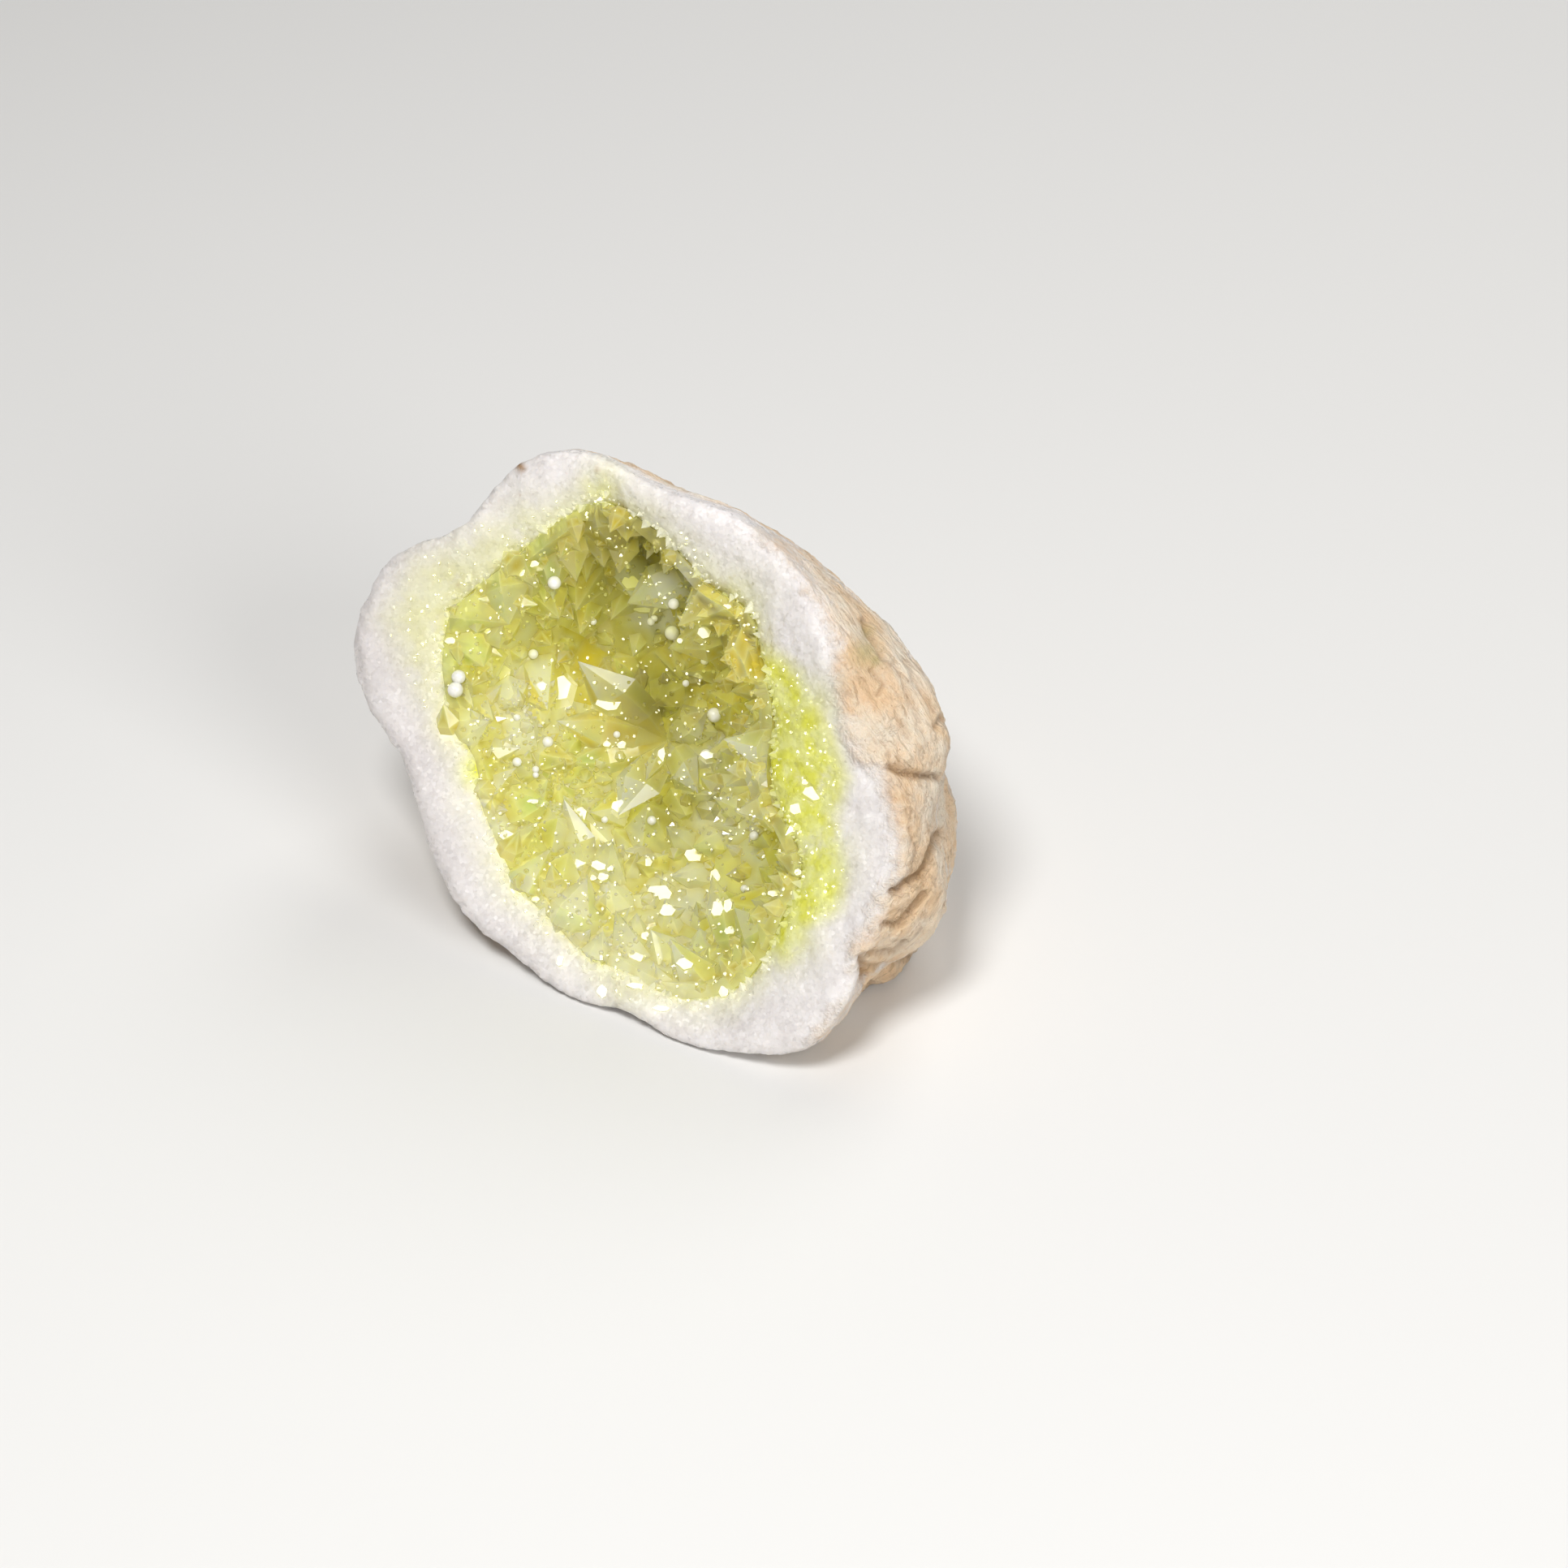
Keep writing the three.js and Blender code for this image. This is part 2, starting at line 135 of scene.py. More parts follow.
GREEN_SPOTS = [
    (650, 1085, 32, 0.9), (698, 995, 40, 0.9), (850, 1058, 30, 0.6), (565, 790, 40, 0.8),
    (650, 690, 45, 0.6), (710, 950, 45, 0.6), (730, 600, 35, 0.6), (905, 1145, 30, 0.7),
    (690, 1140, 30, 0.6), (590, 770, 35, 0.7),
]
# Painted shade in the depths of the hollow and under its top lip
DEEP_SHADE_SPOTS = [
    (812, 852, 50, 1.0), (745, 690, 60, 0.6), (800, 670, 50, 0.6), (780, 780, 60, 0.4),
    (820, 990, 40, 0.45),
]
SUGAR_SPOTS = [
    (640, 880, 60, 1.0), (700, 955, 55, 0.9), (560, 850, 50, 0.9), (840, 735, 45, 0.9),
    (760, 1140, 60, 0.7), (890, 1010, 45, 0.8), (650, 1130, 50, 0.8), (870, 900, 50, 0.6),
    (610, 1000, 45, 0.8), (780, 1220, 60, 0.9),
]

# Which way the rind's wrinkles run, high and low on it, and the heights between which they turn
UPPER_GRAIN = (0.62, -0.48, -0.61)
LOWER_GRAIN = (0.75, 0.40, 0.51)
GRAIN_TURN = (0.026, 0.034)

# How meshes are joined and cut, with distances in metres
MERGE_DISTANCE = 1e-6
FLAT_ANGLE = math.radians(3)
EDGE_ANGLE = math.radians(12)
EDGE_STEP = 0.0002
WALL_GAP = 0.0006
SPLIT_PASSES = 3

# How far the painted highlight on ridges and the root colour with painted shade in clefts spread, and how
# high the pale mask is outside the pale spots
RIDGE_REACH = 0.0006
CLEFT_REACH = 0.0011
SCATTERED_PALE = 0.2

# Most crystals that may be tried on a square metre
DENSEST = 4e6

# Seeds of the random numbers
CRUST_SEED = 3
FACET_SEED = 4
SMALL_SEED = 5
FINE_SEED = 9
RIM_SEED = 21
LIP_SEED = 31

# The pieces that facets and beads sit on
CARRIERS = ("crystal_lining", "small_crystals", "geode_stone")

# The studio: how far the floor reaches, where the lights aim, and their places, widths and watts
FLOOR_REACH = 3.0
LIGHT_TARGET = (0, 0, 0.03)
KEY_WIDTH = 0.22
KEY_POWER = 3.7
BACK_LIGHT = (0.25, 0.40, 0.55), 0.4, 1.4
FILL_LIGHT = (0.40, -0.50, 0.40), 0.4, 2.3


# Settings


def length_setting(name, description, default):
    """A size, in metres, that a user may change."""
    return bpy.props.FloatProperty(
        name=name, description=description, default=default, subtype="DISTANCE"
    )


def colour_setting(name, description, default):
    """A colour that a user may change."""
    return bpy.props.FloatVectorProperty(
        name=name, description=description, default=default, subtype="COLOR"
    )


class GeodeStone(bpy.types.PropertyGroup):
    """Sizes and colours of the stone."""

    voxel: length_setting("Mesh Size", "Spacing of the stone's mesh", 0.0005)
    fullness: length_setting("Fullness", "How far the outside stands out, to undo its rounding", 0.0004)
    lump_height: length_setting("Lump Height", "Height of the rind's small lumps", 0.0016)
    wrinkle_height: length_setting("Wrinkle Height", "Height of the rind's wrinkles", 0.0012)
    groove_depth: length_setting("Groove Depth", "Depth of the rind's grooves", 0.0010)
    grain_height: length_setting("Grain Height", "Height of the sugary grains", 0.0002)
    quartz_colour: colour_setting("Quartz", "White wall", (0.83, 0.79, 0.77))
    # Random greyer clouds, and painted shade over the left side of the wall
    quartz_cloud_and_shade: colour_setting("Quartz Shade", "Greyer patches of the wall", (0.71, 0.665, 0.65))
    dye_colour: colour_setting("Dye", "Yellow-green of the wall near the crystals", (0.73, 0.73, 0.05))
    dye_pale: colour_setting("Pale Dye", "Weaker yellow-green of the wall", (0.81, 0.82, 0.28))
    rind_colour: colour_setting("Rind", "Tan of the rind", (0.89, 0.63, 0.39))
    rind_pale: colour_setting("Pale Rind", "Pale bloom on the rind", (0.94, 0.80, 0.63))
    # Brown of stains, specks, cracks and wrinkle creases, and painted shadow in the grooves
    rind_stain_and_shadow: colour_setting("Rind Stain", "Brown in the creases", (0.36, 0.20, 0.08))
    moss_stain: colour_setting("Moss Stain", "Olive stain on the rind", (0.52, 0.42, 0.17))


class GeodeCrystals(bpy.types.PropertyGroup):
    """Sizes and colours of the crystals."""

    contact: length_setting("Contact", "How far the crust grows into its wall", 0.0003)
    crust_mesh: length_setting("Crust Mesh", "Longest edge of the crust's mesh", 0.0008)
    smallest: length_setting("Smallest", "Width of the smallest of the small crystals", 0.0014)
    largest: length_setting("Largest", "Width of the largest of the small crystals", 0.0036)
    spacing: length_setting("Spacing", "Least distance between small crystals", 0.0034)
    sugar_smallest: length_setting("Finest", "Width of the smallest of the fine crystals", 0.0004)
    sugar_largest: length_setting("Fine", "Width of the largest of the fine crystals", 0.0011)
    sugar_spacing: length_setting("Fine Spacing", "Least distance between fine crystals", 0.0008)
    lip_smallest: length_setting("Lip Finest", "Width of the smallest crystals of the lip", 0.00035)
    lip_largest: length_setting("Lip Fine", "Width of the largest crystals of the lip", 0.0017)
    lip_spacing: length_setting("Lip Spacing", "Least distance between crystals of the lip", 0.0006)
    rim_smallest: length_setting("Rim Finest", "Width of the smallest crystals of the rim", 0.0002)
    rim_largest: length_setting("Rim Fine", "Width of the largest crystals of the rim", 0.0006)
    rim_spacing: length_setting("Rim Spacing", "Least distance between crystals of the rim", 0.0007)
    colour: colour_setting("Crystal", "Tint of the crystals", (0.70, 0.71, 0.24))
    pale: colour_setting("Pale Crystal", "Tint of the clear crystals", (0.80, 0.82, 0.74))
    gold: colour_setting("Golden Crystal", "Tint of the golden crystals", (0.94, 0.75, 0.04))
    green: colour_setting("Green Crystal", "Tint of the green crystals", (0.46, 0.64, 0.20))
    # Milky veils, and painted highlight on ridges and on the lit facets
    milky_and_highlight: colour_setting("Milky Edge", "Tint of the crystals' edges and veils", (0.88, 0.88, 0.50))
    # Painted shade in the depths of the hollow
    deep_shade: colour_setting("Deep Crystal", "Tint of the crystals deep in the hollow", (0.34, 0.31, 0.09))
    sugar_white: colour_setting("White Sugar", "Tint of the rim's small crystals", (0.86, 0.84, 0.79))
    sugar_dyed: colour_setting(
        "Dyed Sugar", "Tint of the rim's small crystals where the wall is dyed", (0.74, 0.75, 0.22)
    )
    # Root colour at the feet and in the clefts of the crystals, with painted shade there
    root: colour_setting("Root", "Tint at the feet of the crystals", (0.60, 0.48, 0.07))
    pearl: colour_setting("Pearl", "White of the beads", (0.92, 0.91, 0.87))
    pearl_shade: colour_setting("Pearl Shade", "Creamy clouds in the beads", (0.86, 0.85, 0.74))
    lit_through: colour_setting(
        "Lit Through",
        "Light that each face of a crystal lets pass to what is behind it",
        (0.85, 0.85, 0.68),
    )
    absorption: colour_setting("Absorption", "Colour that a long way through keeps", (0.88, 0.87, 0.22))
    density: bpy.props.FloatProperty(
        name="Density", description="Strength of the absorption, for each metre", default=40.0,
    )


class GeodeStage(bpy.types.PropertyGroup):
    """Camera, lights and floor."""

    lens: bpy.props.FloatProperty(
        name="Lens", description="Focal length, in millimetres", default=100.0,
    )
    sensor: bpy.props.FloatProperty(
        name="Sensor", description="Sensor width, in millimetres", default=36.0,
    )
    elevation: bpy.props.FloatProperty(
        name="Elevation", description="How far the camera looks down", default=math.radians(38),
        subtype="ANGLE",
    )
    key_place: bpy.props.FloatVectorProperty(
        name="Key Light", description="Where the main light stands", default=(-0.12, -0.31, 0.66),
        subtype="TRANSLATION",
    )
    floor_colour: colour_setting("Floor", "Pale floor", (0.78, 0.77, 0.75))
    world_strength: bpy.props.FloatProperty(
        name="Room Light", description="Strength of the even light", default=0.13,
    )


# Node helpers


def add(tree, kind, options=None, inputs=None):
    """Adds a node, sets its options and gives its inputs a value or a link."""
    made = tree.nodes.new(kind)
    for option, value in (options or {}).items():
        setattr(made, option, value)
    for key, value in (inputs or {}).items():
        if isinstance(value, bpy.types.NodeSocket):
            tree.links.new(value, made.inputs[key])
        else:
            made.inputs[key].default_value = value
    return made


def calc(tree, operation, first, second=0.0, clamp=False):
    """One Math node, as its output."""
    inputs = {0: first, 1: second}
    return add(tree, "ShaderNodeMath", {"operation": operation, "use_clamp": clamp}, inputs).outputs[0]


def vector_calc(tree, operation, first, second):
    """One Vector Math node, as its outputs."""
    return add(tree, "ShaderNodeVectorMath", {"operation": operation}, {0: first, 1: second}).outputs


def scaled(tree, vector, by):
    """A vector times a number, as an output."""
    return add(tree, "ShaderNodeVectorMath", {"operation": "SCALE"}, {0: vector, "Scale": by}).outputs[0]


def between(tree, share, first, second):
    """A number between two others, as an output."""
    return add(tree, "ShaderNodeMix", None, {0: share, 2: first, 3: second}).outputs[0]


def ramp(tree, value, low, high):
    """0 below low and 1 above high, with a smooth step between them."""
    inputs = {"Value": value, "From Min": low, "From Max": high}
    return add(tree, "ShaderNodeMapRange", {"interpolation_type": "SMOOTHSTEP"}, inputs).outputs[0]


def mixed(tree, share, first, second):
    """A colour between two others."""
    inputs = {0: share, 6: first, 7: second}
    return add(tree, "ShaderNodeMix", {"data_type": "RGBA"}, inputs).outputs[2]


def noise(tree, vector, scale, detail=2.0, roughness=0.5, distortion=0.0):
    """Noise about 0.5, as an output."""
    inputs = {"Vector": vector, "Scale": scale, "Detail": detail}
    inputs |= {"Roughness": roughness, "Distortion": distortion}
    return add(tree, "ShaderNodeTexNoise", None, inputs).outputs[0]


def cells(tree, vector, scale):
    """Irregular cells, as the outputs of their node."""
    return add(tree, "ShaderNodeTexVoronoi", None, {"Vector": vector, "Scale": scale}).outputs


def named(tree, name):
    """A number kept on the points of a mesh."""
    read = add(tree, "GeometryNodeInputNamedAttribute", {"data_type": "FLOAT"}, {"Name": name})
    return read.outputs["Attribute"]


def painted(tree, name):
    """A number kept on the points of a mesh, read by a material."""
    return add(tree, "ShaderNodeAttribute", {"attribute_name": name}).outputs["Fac"]


def rgba(colour):
    return (*colour, 1.0)


def geometry_tree(name, inputs):
    """A Geometry Nodes tree that takes a shape, the inputs and a material, with its two end nodes."""
    tree = bpy.data.node_groups.new(name, "GeometryNodeTree")
    tree.interface.new_socket("Geometry", in_out="OUTPUT", socket_type="NodeSocketGeometry")
    for label, kind in {"Geometry": "Geometry", **inputs, "Material": "Material"}.items():
        tree.interface.new_socket(label, in_out="INPUT", socket_type="NodeSocket" + kind)
    return tree, tree.nodes.new("NodeGroupInput").outputs, tree.nodes.new("NodeGroupOutput").inputs


def end_tree(tree, shape, given, made):
    """Gives the shape its material and puts it out of the tree."""
    inputs = {"Geometry": shape, "Material": given["Material"]}
    tree.links.new(add(tree, "GeometryNodeSetMaterial", None, inputs).outputs[0], made[0])


def grow(obj, tree, values):
    """Runs a Geometry Nodes tree on an object and keeps the result as its plain mesh."""
    modifier = obj.modifiers.new(tree.name, "NODES")
    modifier.node_group = tree
    for item in tree.interface.items_tree:
        if item.in_out == "INPUT" and item.name in values:
            modifier[item.identifier] = values[item.name]
    keep_shape(obj)


def keep_shape(obj):
    """Turns what an object's modifiers make into its own plain mesh."""
    view = bpy.context.evaluated_depsgraph_get()
    shape = bpy.data.meshes.new_from_object(
        obj.evaluated_get(view), preserve_all_data_layers=True, depsgraph=view
    )
    obj.modifiers.clear()
    obj.data = shape


# Mesh helpers


def new_object(name, mesh):
    made = bpy.data.objects.new(name, mesh)
    bpy.context.scene.collection.objects.link(made)
    return made


def merged_copy(node, name):
    """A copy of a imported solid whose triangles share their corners."""
    shape = bmesh.new()
    shape.from_mesh(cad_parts[node].data)
    bmesh.ops.remove_doubles(shape, verts=shape.verts, dist=MERGE_DISTANCE)
    mesh = bpy.data.meshes.new(name)
    shape.to_mesh(mesh)
    shape.free()
    return new_object(name, mesh)


def surface_of(node):
    """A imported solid's surface, for finding the nearest point on it."""
    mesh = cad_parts[node].data
    return BVHTree.FromPolygons([v.co for v in mesh.vertices], [p.vertices for p in mesh.polygons])


def points_of(mesh):
    places = np.empty(3 * len(mesh.vertices))
    mesh.vertices.foreach_get("co", places)
    return places.reshape(-1, 3)


def normals_of(mesh):
    ways = np.empty(3 * len(mesh.vertices), np.float32)
    mesh.vertex_normals.foreach_get("vector", ways)
    return ways.reshape(-1, 3).astype(float)


def in_bowl(points):
    return (points - np.array(FACE_CENTRE)) @ np.array(BOWL_AXES)


def distances_to(surface, points):
    return np.array([surface.find_nearest(Vector(p))[3] for p in points])


def smooth_step(low, high, values):
    t = np.clip((values - low) / (high - low), 0, 1)
    return t * t * (3 - 2 * t)


def keep_numbers(mesh, name, values):
    """Keeps a number from 0 to 1 on each point of a mesh."""
    kept = mesh.attributes.get(name) or mesh.attributes.new(name, "FLOAT", "POINT")
    kept.data.foreach_set("value", np.clip(values, 0, 1).astype(np.float32))


def numbers_of(mesh, name):
    kept = np.empty(len(mesh.vertices), np.float32)
    mesh.attributes[name].data.foreach_get("value", kept)
    return kept.astype(float)


# Where things are in the photograph


def camera_axes(stage):
    """Right, up and forward of the camera at the photograph's angle."""
    tilt = stage.elevation
    forward = Vector((0, math.cos(tilt), -math.sin(tilt)))
    up = Vector((0, math.sin(tilt), math.cos(tilt)))
    return Vector((1, 0, 0)), up, forward


def focal_pixels(stage):
    return stage.lens / stage.sensor * PHOTO_PIXELS


def camera_place(stage):
    """Where the camera stands so that the face's centre lands on its pixel, at its real size."""
    right, up, forward = camera_axes(stage)
    off = (FACE_CENTRE_PIXEL - Vector((PHOTO_PIXELS, PHOTO_PIXELS)) / 2) * METRES_PER_PIXEL
    return FACE_CENTRE - forward * focal_pixels(stage) * METRES_PER_PIXEL - right * off.x + up * off.y


def photo_ray(stage, across, down):
    """Start and direction of the line of sight through a pixel of the photograph."""
    right, up, forward = camera_axes(stage)
    half = PHOTO_PIXELS / 2
    way = forward * focal_pixels(stage) + right * (across - half) - up * (down - half)
    return camera_place(stage), way.normalized()


def photo_pixels(stage, points):
    """The pixel of the photograph that each point lands on."""
    right, up, forward = (np.array(axis) for axis in camera_axes(stage))
    away = points - np.array(camera_place(stage))
    scale = focal_pixels(stage) / (away @ forward)
    half = PHOTO_PIXELS / 2
    return np.stack([half + scale * (away @ right), half - scale * (away @ up)], axis=1)


def distance_to_line(pixels, line):
    """Distance in pixels from each point to a broken line."""
    nearest = np.full(len(pixels), np.inf)
    for start, end in zip(line, line[1:]):
        along = np.subtract(end, start).astype(float)
        share = np.clip((pixels - start) @ along / (along @ along), 0, 1)
        off = pixels - start - share[:, None] * along
        nearest = np.minimum(nearest, np.hypot(off[:, 0], off[:, 1]))
    return nearest


def depth_inside(pixels, outline):
    """Distance in pixels to a closed outline, above 0 inside it and below 0 outside."""
    closed = [*outline, outline[0]]
    inside = np.zeros(len(pixels), bool)
    for (x0, y0), (x1, y1) in zip(closed, closed[1:]):
        spans = (y0 > pixels[:, 1]) != (y1 > pixels[:, 1])
        if y0 != y1:
            inside ^= spans & (pixels[:, 0] < x0 + (x1 - x0) * (pixels[:, 1] - y0) / (y1 - y0))
    return np.where(inside, 1, -1) * distance_to_line(pixels, closed)


def spots_at(pixels, spots):
    """How strongly each point is in one of the spots."""
    strongest = np.zeros(len(pixels))
    for across, down, reach, strength in spots:
        far = np.hypot(pixels[:, 0] - across, pixels[:, 1] - down) / reach
        strongest = np.maximum(strongest, strength * np.exp(-(far**2)))
    return strongest


# Stone


def stretched(tree, vector, along, long_scale, short_scale):
    """A vector for a texture that is drawn out in one direction."""
    turn = Vector(along).rotation_difference(Vector((1, 0, 0))).to_euler()
    inputs = {"Vector": vector, "Rotation": turn}
    turned = add(tree, "ShaderNodeVectorRotate", {"rotation_type": "EULER_XYZ"}, inputs).outputs[0]
    return vector_calc(tree, "MULTIPLY", turned, (long_scale, short_scale, short_scale))[0]


def wrinkles(tree, place, long_scale, short_scale):
    """Wrinkles that follow the edge high on the rind, and climb across it lower down."""
    height = add(tree, "ShaderNodeSeparateXYZ", None, {0: place}).outputs["Z"]
    low, high = (
        noise(tree, stretched(tree, place, grain, long_scale, short_scale), 1.0, 3.0, 0.55, 0.6)
        for grain in (LOWER_GRAIN, UPPER_GRAIN)
    )
    return between(tree, ramp(tree, height, *GRAIN_TURN), low, high)


def stone_relief_tree():
    """Lumps, wrinkles and grooves on the rind, and sugary grains on the broken face."""
    sizes = ("Fullness", "Lump Height", "Wrinkle Height", "Groove Depth", "Grain Height")
    tree, given, made = geometry_tree("Stone Relief", dict.fromkeys(sizes, "Float"))
    place = tree.nodes.new("GeometryNodeInputPosition").outputs[0]
    rind = ramp(tree, named(tree, "rind"), 0.05, 0.6)

    lumps = calc(tree, "SUBTRACT", noise(tree, place, 170.0, 5.0, 0.62), 0.5)
    rise = calc(tree, "MULTIPLY", lumps, given["Lump Height"])
    folds = calc(tree, "SUBTRACT", wrinkles(tree, place, 150.0, 520.0), 0.5)
    rise = calc(tree, "ADD", rise, calc(tree, "MULTIPLY", folds, given["Wrinkle Height"]))
    rise = calc(tree, "MULTIPLY", rise, rind)
    groove = calc(tree, "MULTIPLY", named(tree, "groove"), given["Groove Depth"])
    rise = calc(tree, "SUBTRACT", rise, groove)

    grains = calc(tree, "SUBTRACT", 0.45, cells(tree, place, 800.0)["Distance"])
    waves = calc(tree, "SUBTRACT", noise(tree, place, 300.0, 3.0), 0.5)
    sugar = calc(tree, "ADD", grains, calc(tree, "MULTIPLY", waves, 4.0))
    sugar = calc(tree, "MULTIPLY", sugar, given["Grain Height"])
    bare = calc(tree, "SUBTRACT", calc(tree, "SUBTRACT", 1.0, rind), named(tree, "hollow"), clamp=True)
    sugar = calc(tree, "MULTIPLY", sugar, bare)

    height = add(tree, "ShaderNodeSeparateXYZ", None, {0: place}).outputs["Z"]
    off_base = ramp(tree, height, 0.0002, 0.0018)
    fill = calc(tree, "MULTIPLY", named(tree, "outside"), given["Fullness"])
    out = calc(tree, "ADD", calc(tree, "ADD", rise, sugar), fill)
    out = calc(tree, "MULTIPLY", out, off_base)
    normal = tree.nodes.new("GeometryNodeInputNormal").outputs[0]
    raised = vector_calc(tree, "ADD", place, scaled(tree, normal, out))[0]
    on_table = vector_calc(tree, "MAXIMUM", raised, (-1.0, -1.0, 0.0))[0]
    inputs = {"Geometry": given["Geometry"], "Position": on_table}
    end_tree(tree, add(tree, "GeometryNodeSetPosition", None, inputs).outputs[0], given, made)
    return tree


def facet_group():
    """Flat facets of random tilt, as on grown sugar: a height for bump, and a number for each grain."""
    group = bpy.data.node_groups.new("Sugar Facets", "ShaderNodeTree")
    group.interface.new_socket("Vector", in_out="INPUT", socket_type="NodeSocketVector")
    group.interface.new_socket("Scale", in_out="INPUT", socket_type="NodeSocketFloat")
    group.interface.new_socket("Height", in_out="OUTPUT", socket_type="NodeSocketFloat")
    group.interface.new_socket("Grain", in_out="OUTPUT", socket_type="NodeSocketFloat")
    given = group.nodes.new("NodeGroupInput").outputs
    made = group.nodes.new("NodeGroupOutput").inputs
    grains = cells(group, given["Vector"], given["Scale"])
    within = vector_calc(group, "SUBTRACT", given["Vector"], grains["Position"])[0]
    tilt = vector_calc(group, "SUBTRACT", grains["Color"], (0.5, 0.5, 0.5))[0]
    slope = vector_calc(group, "DOT_PRODUCT", within, tilt)["Value"]
    parts = add(group, "ShaderNodeSeparateColor", None, {0: grains["Color"]}).outputs
    group.links.new(calc(group, "MULTIPLY", slope, given["Scale"]), made["Height"])
    group.links.new(parts[0], made["Grain"])
    return group


def new_material(name):
    """An empty material: its tree, a Principled shader and where its pattern is measured from."""
    material = bpy.data.materials.new(name)
    material.use_nodes = True
    tree = material.node_tree
    tree.nodes.clear()
    shader = tree.nodes.new("ShaderNodeBsdfPrincipled")
    output = tree.nodes.new("ShaderNodeOutputMaterial")
    tree.links.new(shader.outputs[0], output.inputs["Surface"])
    place = tree.nodes.new("ShaderNodeTexCoord").outputs["Object"]
    return material, tree, shader, output, place


def stone_material(look, facets):
    """White sugary quartz that takes the dye near the crystals, and turns to tan rind outside."""
    material, tree, shader, _, place = new_material("quartz_stone")
    edge = calc(tree, "SUBTRACT", noise(tree, place, 420.0, 5.0, 0.65), 0.5)
    ragged = calc(tree, "ADD", painted(tree, "rind"), calc(tree, "MULTIPLY", edge, 0.9))
    rind = ramp(tree, ragged, 0.1, 0.9)

    # White wall with its greyer clouds, painted shade over its left side, dye and specks
    cloud = ramp(tree, noise(tree, place, 260.0, 5.0, 0.6), 0.42, 0.8)
    cloud = calc(tree, "MAXIMUM", cloud, painted(tree, "left_shade"))
    quartz = mixed(tree, cloud, rgba(look.quartz_colour), rgba(look.quartz_cloud_and_shade))
    streaks = noise(tree, place, 300.0, 5.0, 0.6)
    dye = calc(tree, "MULTIPLY", painted(tree, "dye"), ramp(tree, streaks, 0.1, 0.5), clamp=True)
    depth = ramp(tree, noise(tree, place, 350.0, 3.0), 0.35, 0.65)
    dyed = mixed(tree, depth, rgba(look.dye_pale), rgba(look.dye_colour))
    quartz = mixed(tree, dye, quartz, dyed)
    quartz = mixed(tree, painted(tree, "speck"), quartz, rgba(look.rind_stain_and_shadow))

    # Tan rind with its bloom, darker wrinkle creases, cracks, dots and stains, and painted shadow in its
    # grooves
    folds = wrinkles(tree, place, 260.0, 950.0)
    bloom = ramp(tree, noise(tree, place, 140.0, 5.0, 0.6), 0.36, 0.66)
    tan = mixed(tree, bloom, rgba(look.rind_colour), rgba(look.rind_pale))
    creases = calc(tree, "MULTIPLY", ramp(tree, folds, 0.48, 0.3), 0.45)
    tan = mixed(tree, creases, tan, rgba(look.rind_stain_and_shadow))
    crumple = calc(tree, "SUBTRACT", noise(tree, place, 300.0, 5.0, 0.6, 0.4), 0.5)
    cracks = ramp(tree, calc(tree, "ABSOLUTE", crumple), 0.016, 0.0)
    cracks = calc(tree, "MULTIPLY", cracks, ramp(tree, noise(tree, place, 110.0, 2.0), 0.42, 0.6))
    tan = mixed(tree, calc(tree, "MULTIPLY", cracks, 0.22), tan, rgba(look.rind_stain_and_shadow))
    dots = ramp(tree, noise(tree, place, 1500.0, 2.0, 0.6), 0.66, 0.74)
    # Painted shadow in the grooves, and brown dots
    stain = calc(tree, "MAXIMUM", painted(tree, "groove"), calc(tree, "MULTIPLY", dots, 0.6))
    tan = mixed(tree, calc(tree, "MULTIPLY", stain, 0.8), tan, rgba(look.rind_stain_and_shadow))
    tan = mixed(tree, calc(tree, "MULTIPLY", painted(tree, "stain"), 0.8), tan, rgba(look.moss_stain))

    # Gloss of single grains, and dull clay
    sugar = add(tree, "ShaderNodeGroup", {"node_tree": facets}, {"Vector": place, "Scale": 2400.0})
    glint = ramp(tree, sugar.outputs["Grain"], 0.78, 0.92)
    wet = calc(tree, "SUBTRACT", 0.46, calc(tree, "MULTIPLY", glint, 0.36))
    dull = calc(tree, "ADD", 0.75, calc(tree, "MULTIPLY", edge, 0.4))
    roughness = between(tree, rind, wet, dull)

    # Relief that is too fine for the mesh
    dust = noise(tree, place, 2200.0, 4.0, 0.7)
    clay = calc(tree, "ADD", calc(tree, "MULTIPLY", folds, 4.2), calc(tree, "MULTIPLY", dust, 1.6))
    clay = calc(tree, "SUBTRACT", clay, calc(tree, "MULTIPLY", cracks, 1.0))
    grains = calc(tree, "MULTIPLY", sugar.outputs["Height"], 0.42)
    height = between(tree, rind, grains, clay)
    bump = add(tree, "ShaderNodeBump", None, {"Height": height, "Distance": 0.0005, "Strength": 0.8})

    tree.links.new(mixed(tree, rind, quartz, tan), shader.inputs["Base Color"])
    tree.links.new(roughness, shader.inputs["Roughness"])
    tree.links.new(bump.outputs[0], shader.inputs["Normal"])
    shader.inputs["Subsurface Weight"].default_value = 0.4
    shader.inputs["Subsurface Radius"].default_value = (1.0, 0.9, 0.75)
    shader.inputs["Subsurface Scale"].default_value = 0.0015
    return material


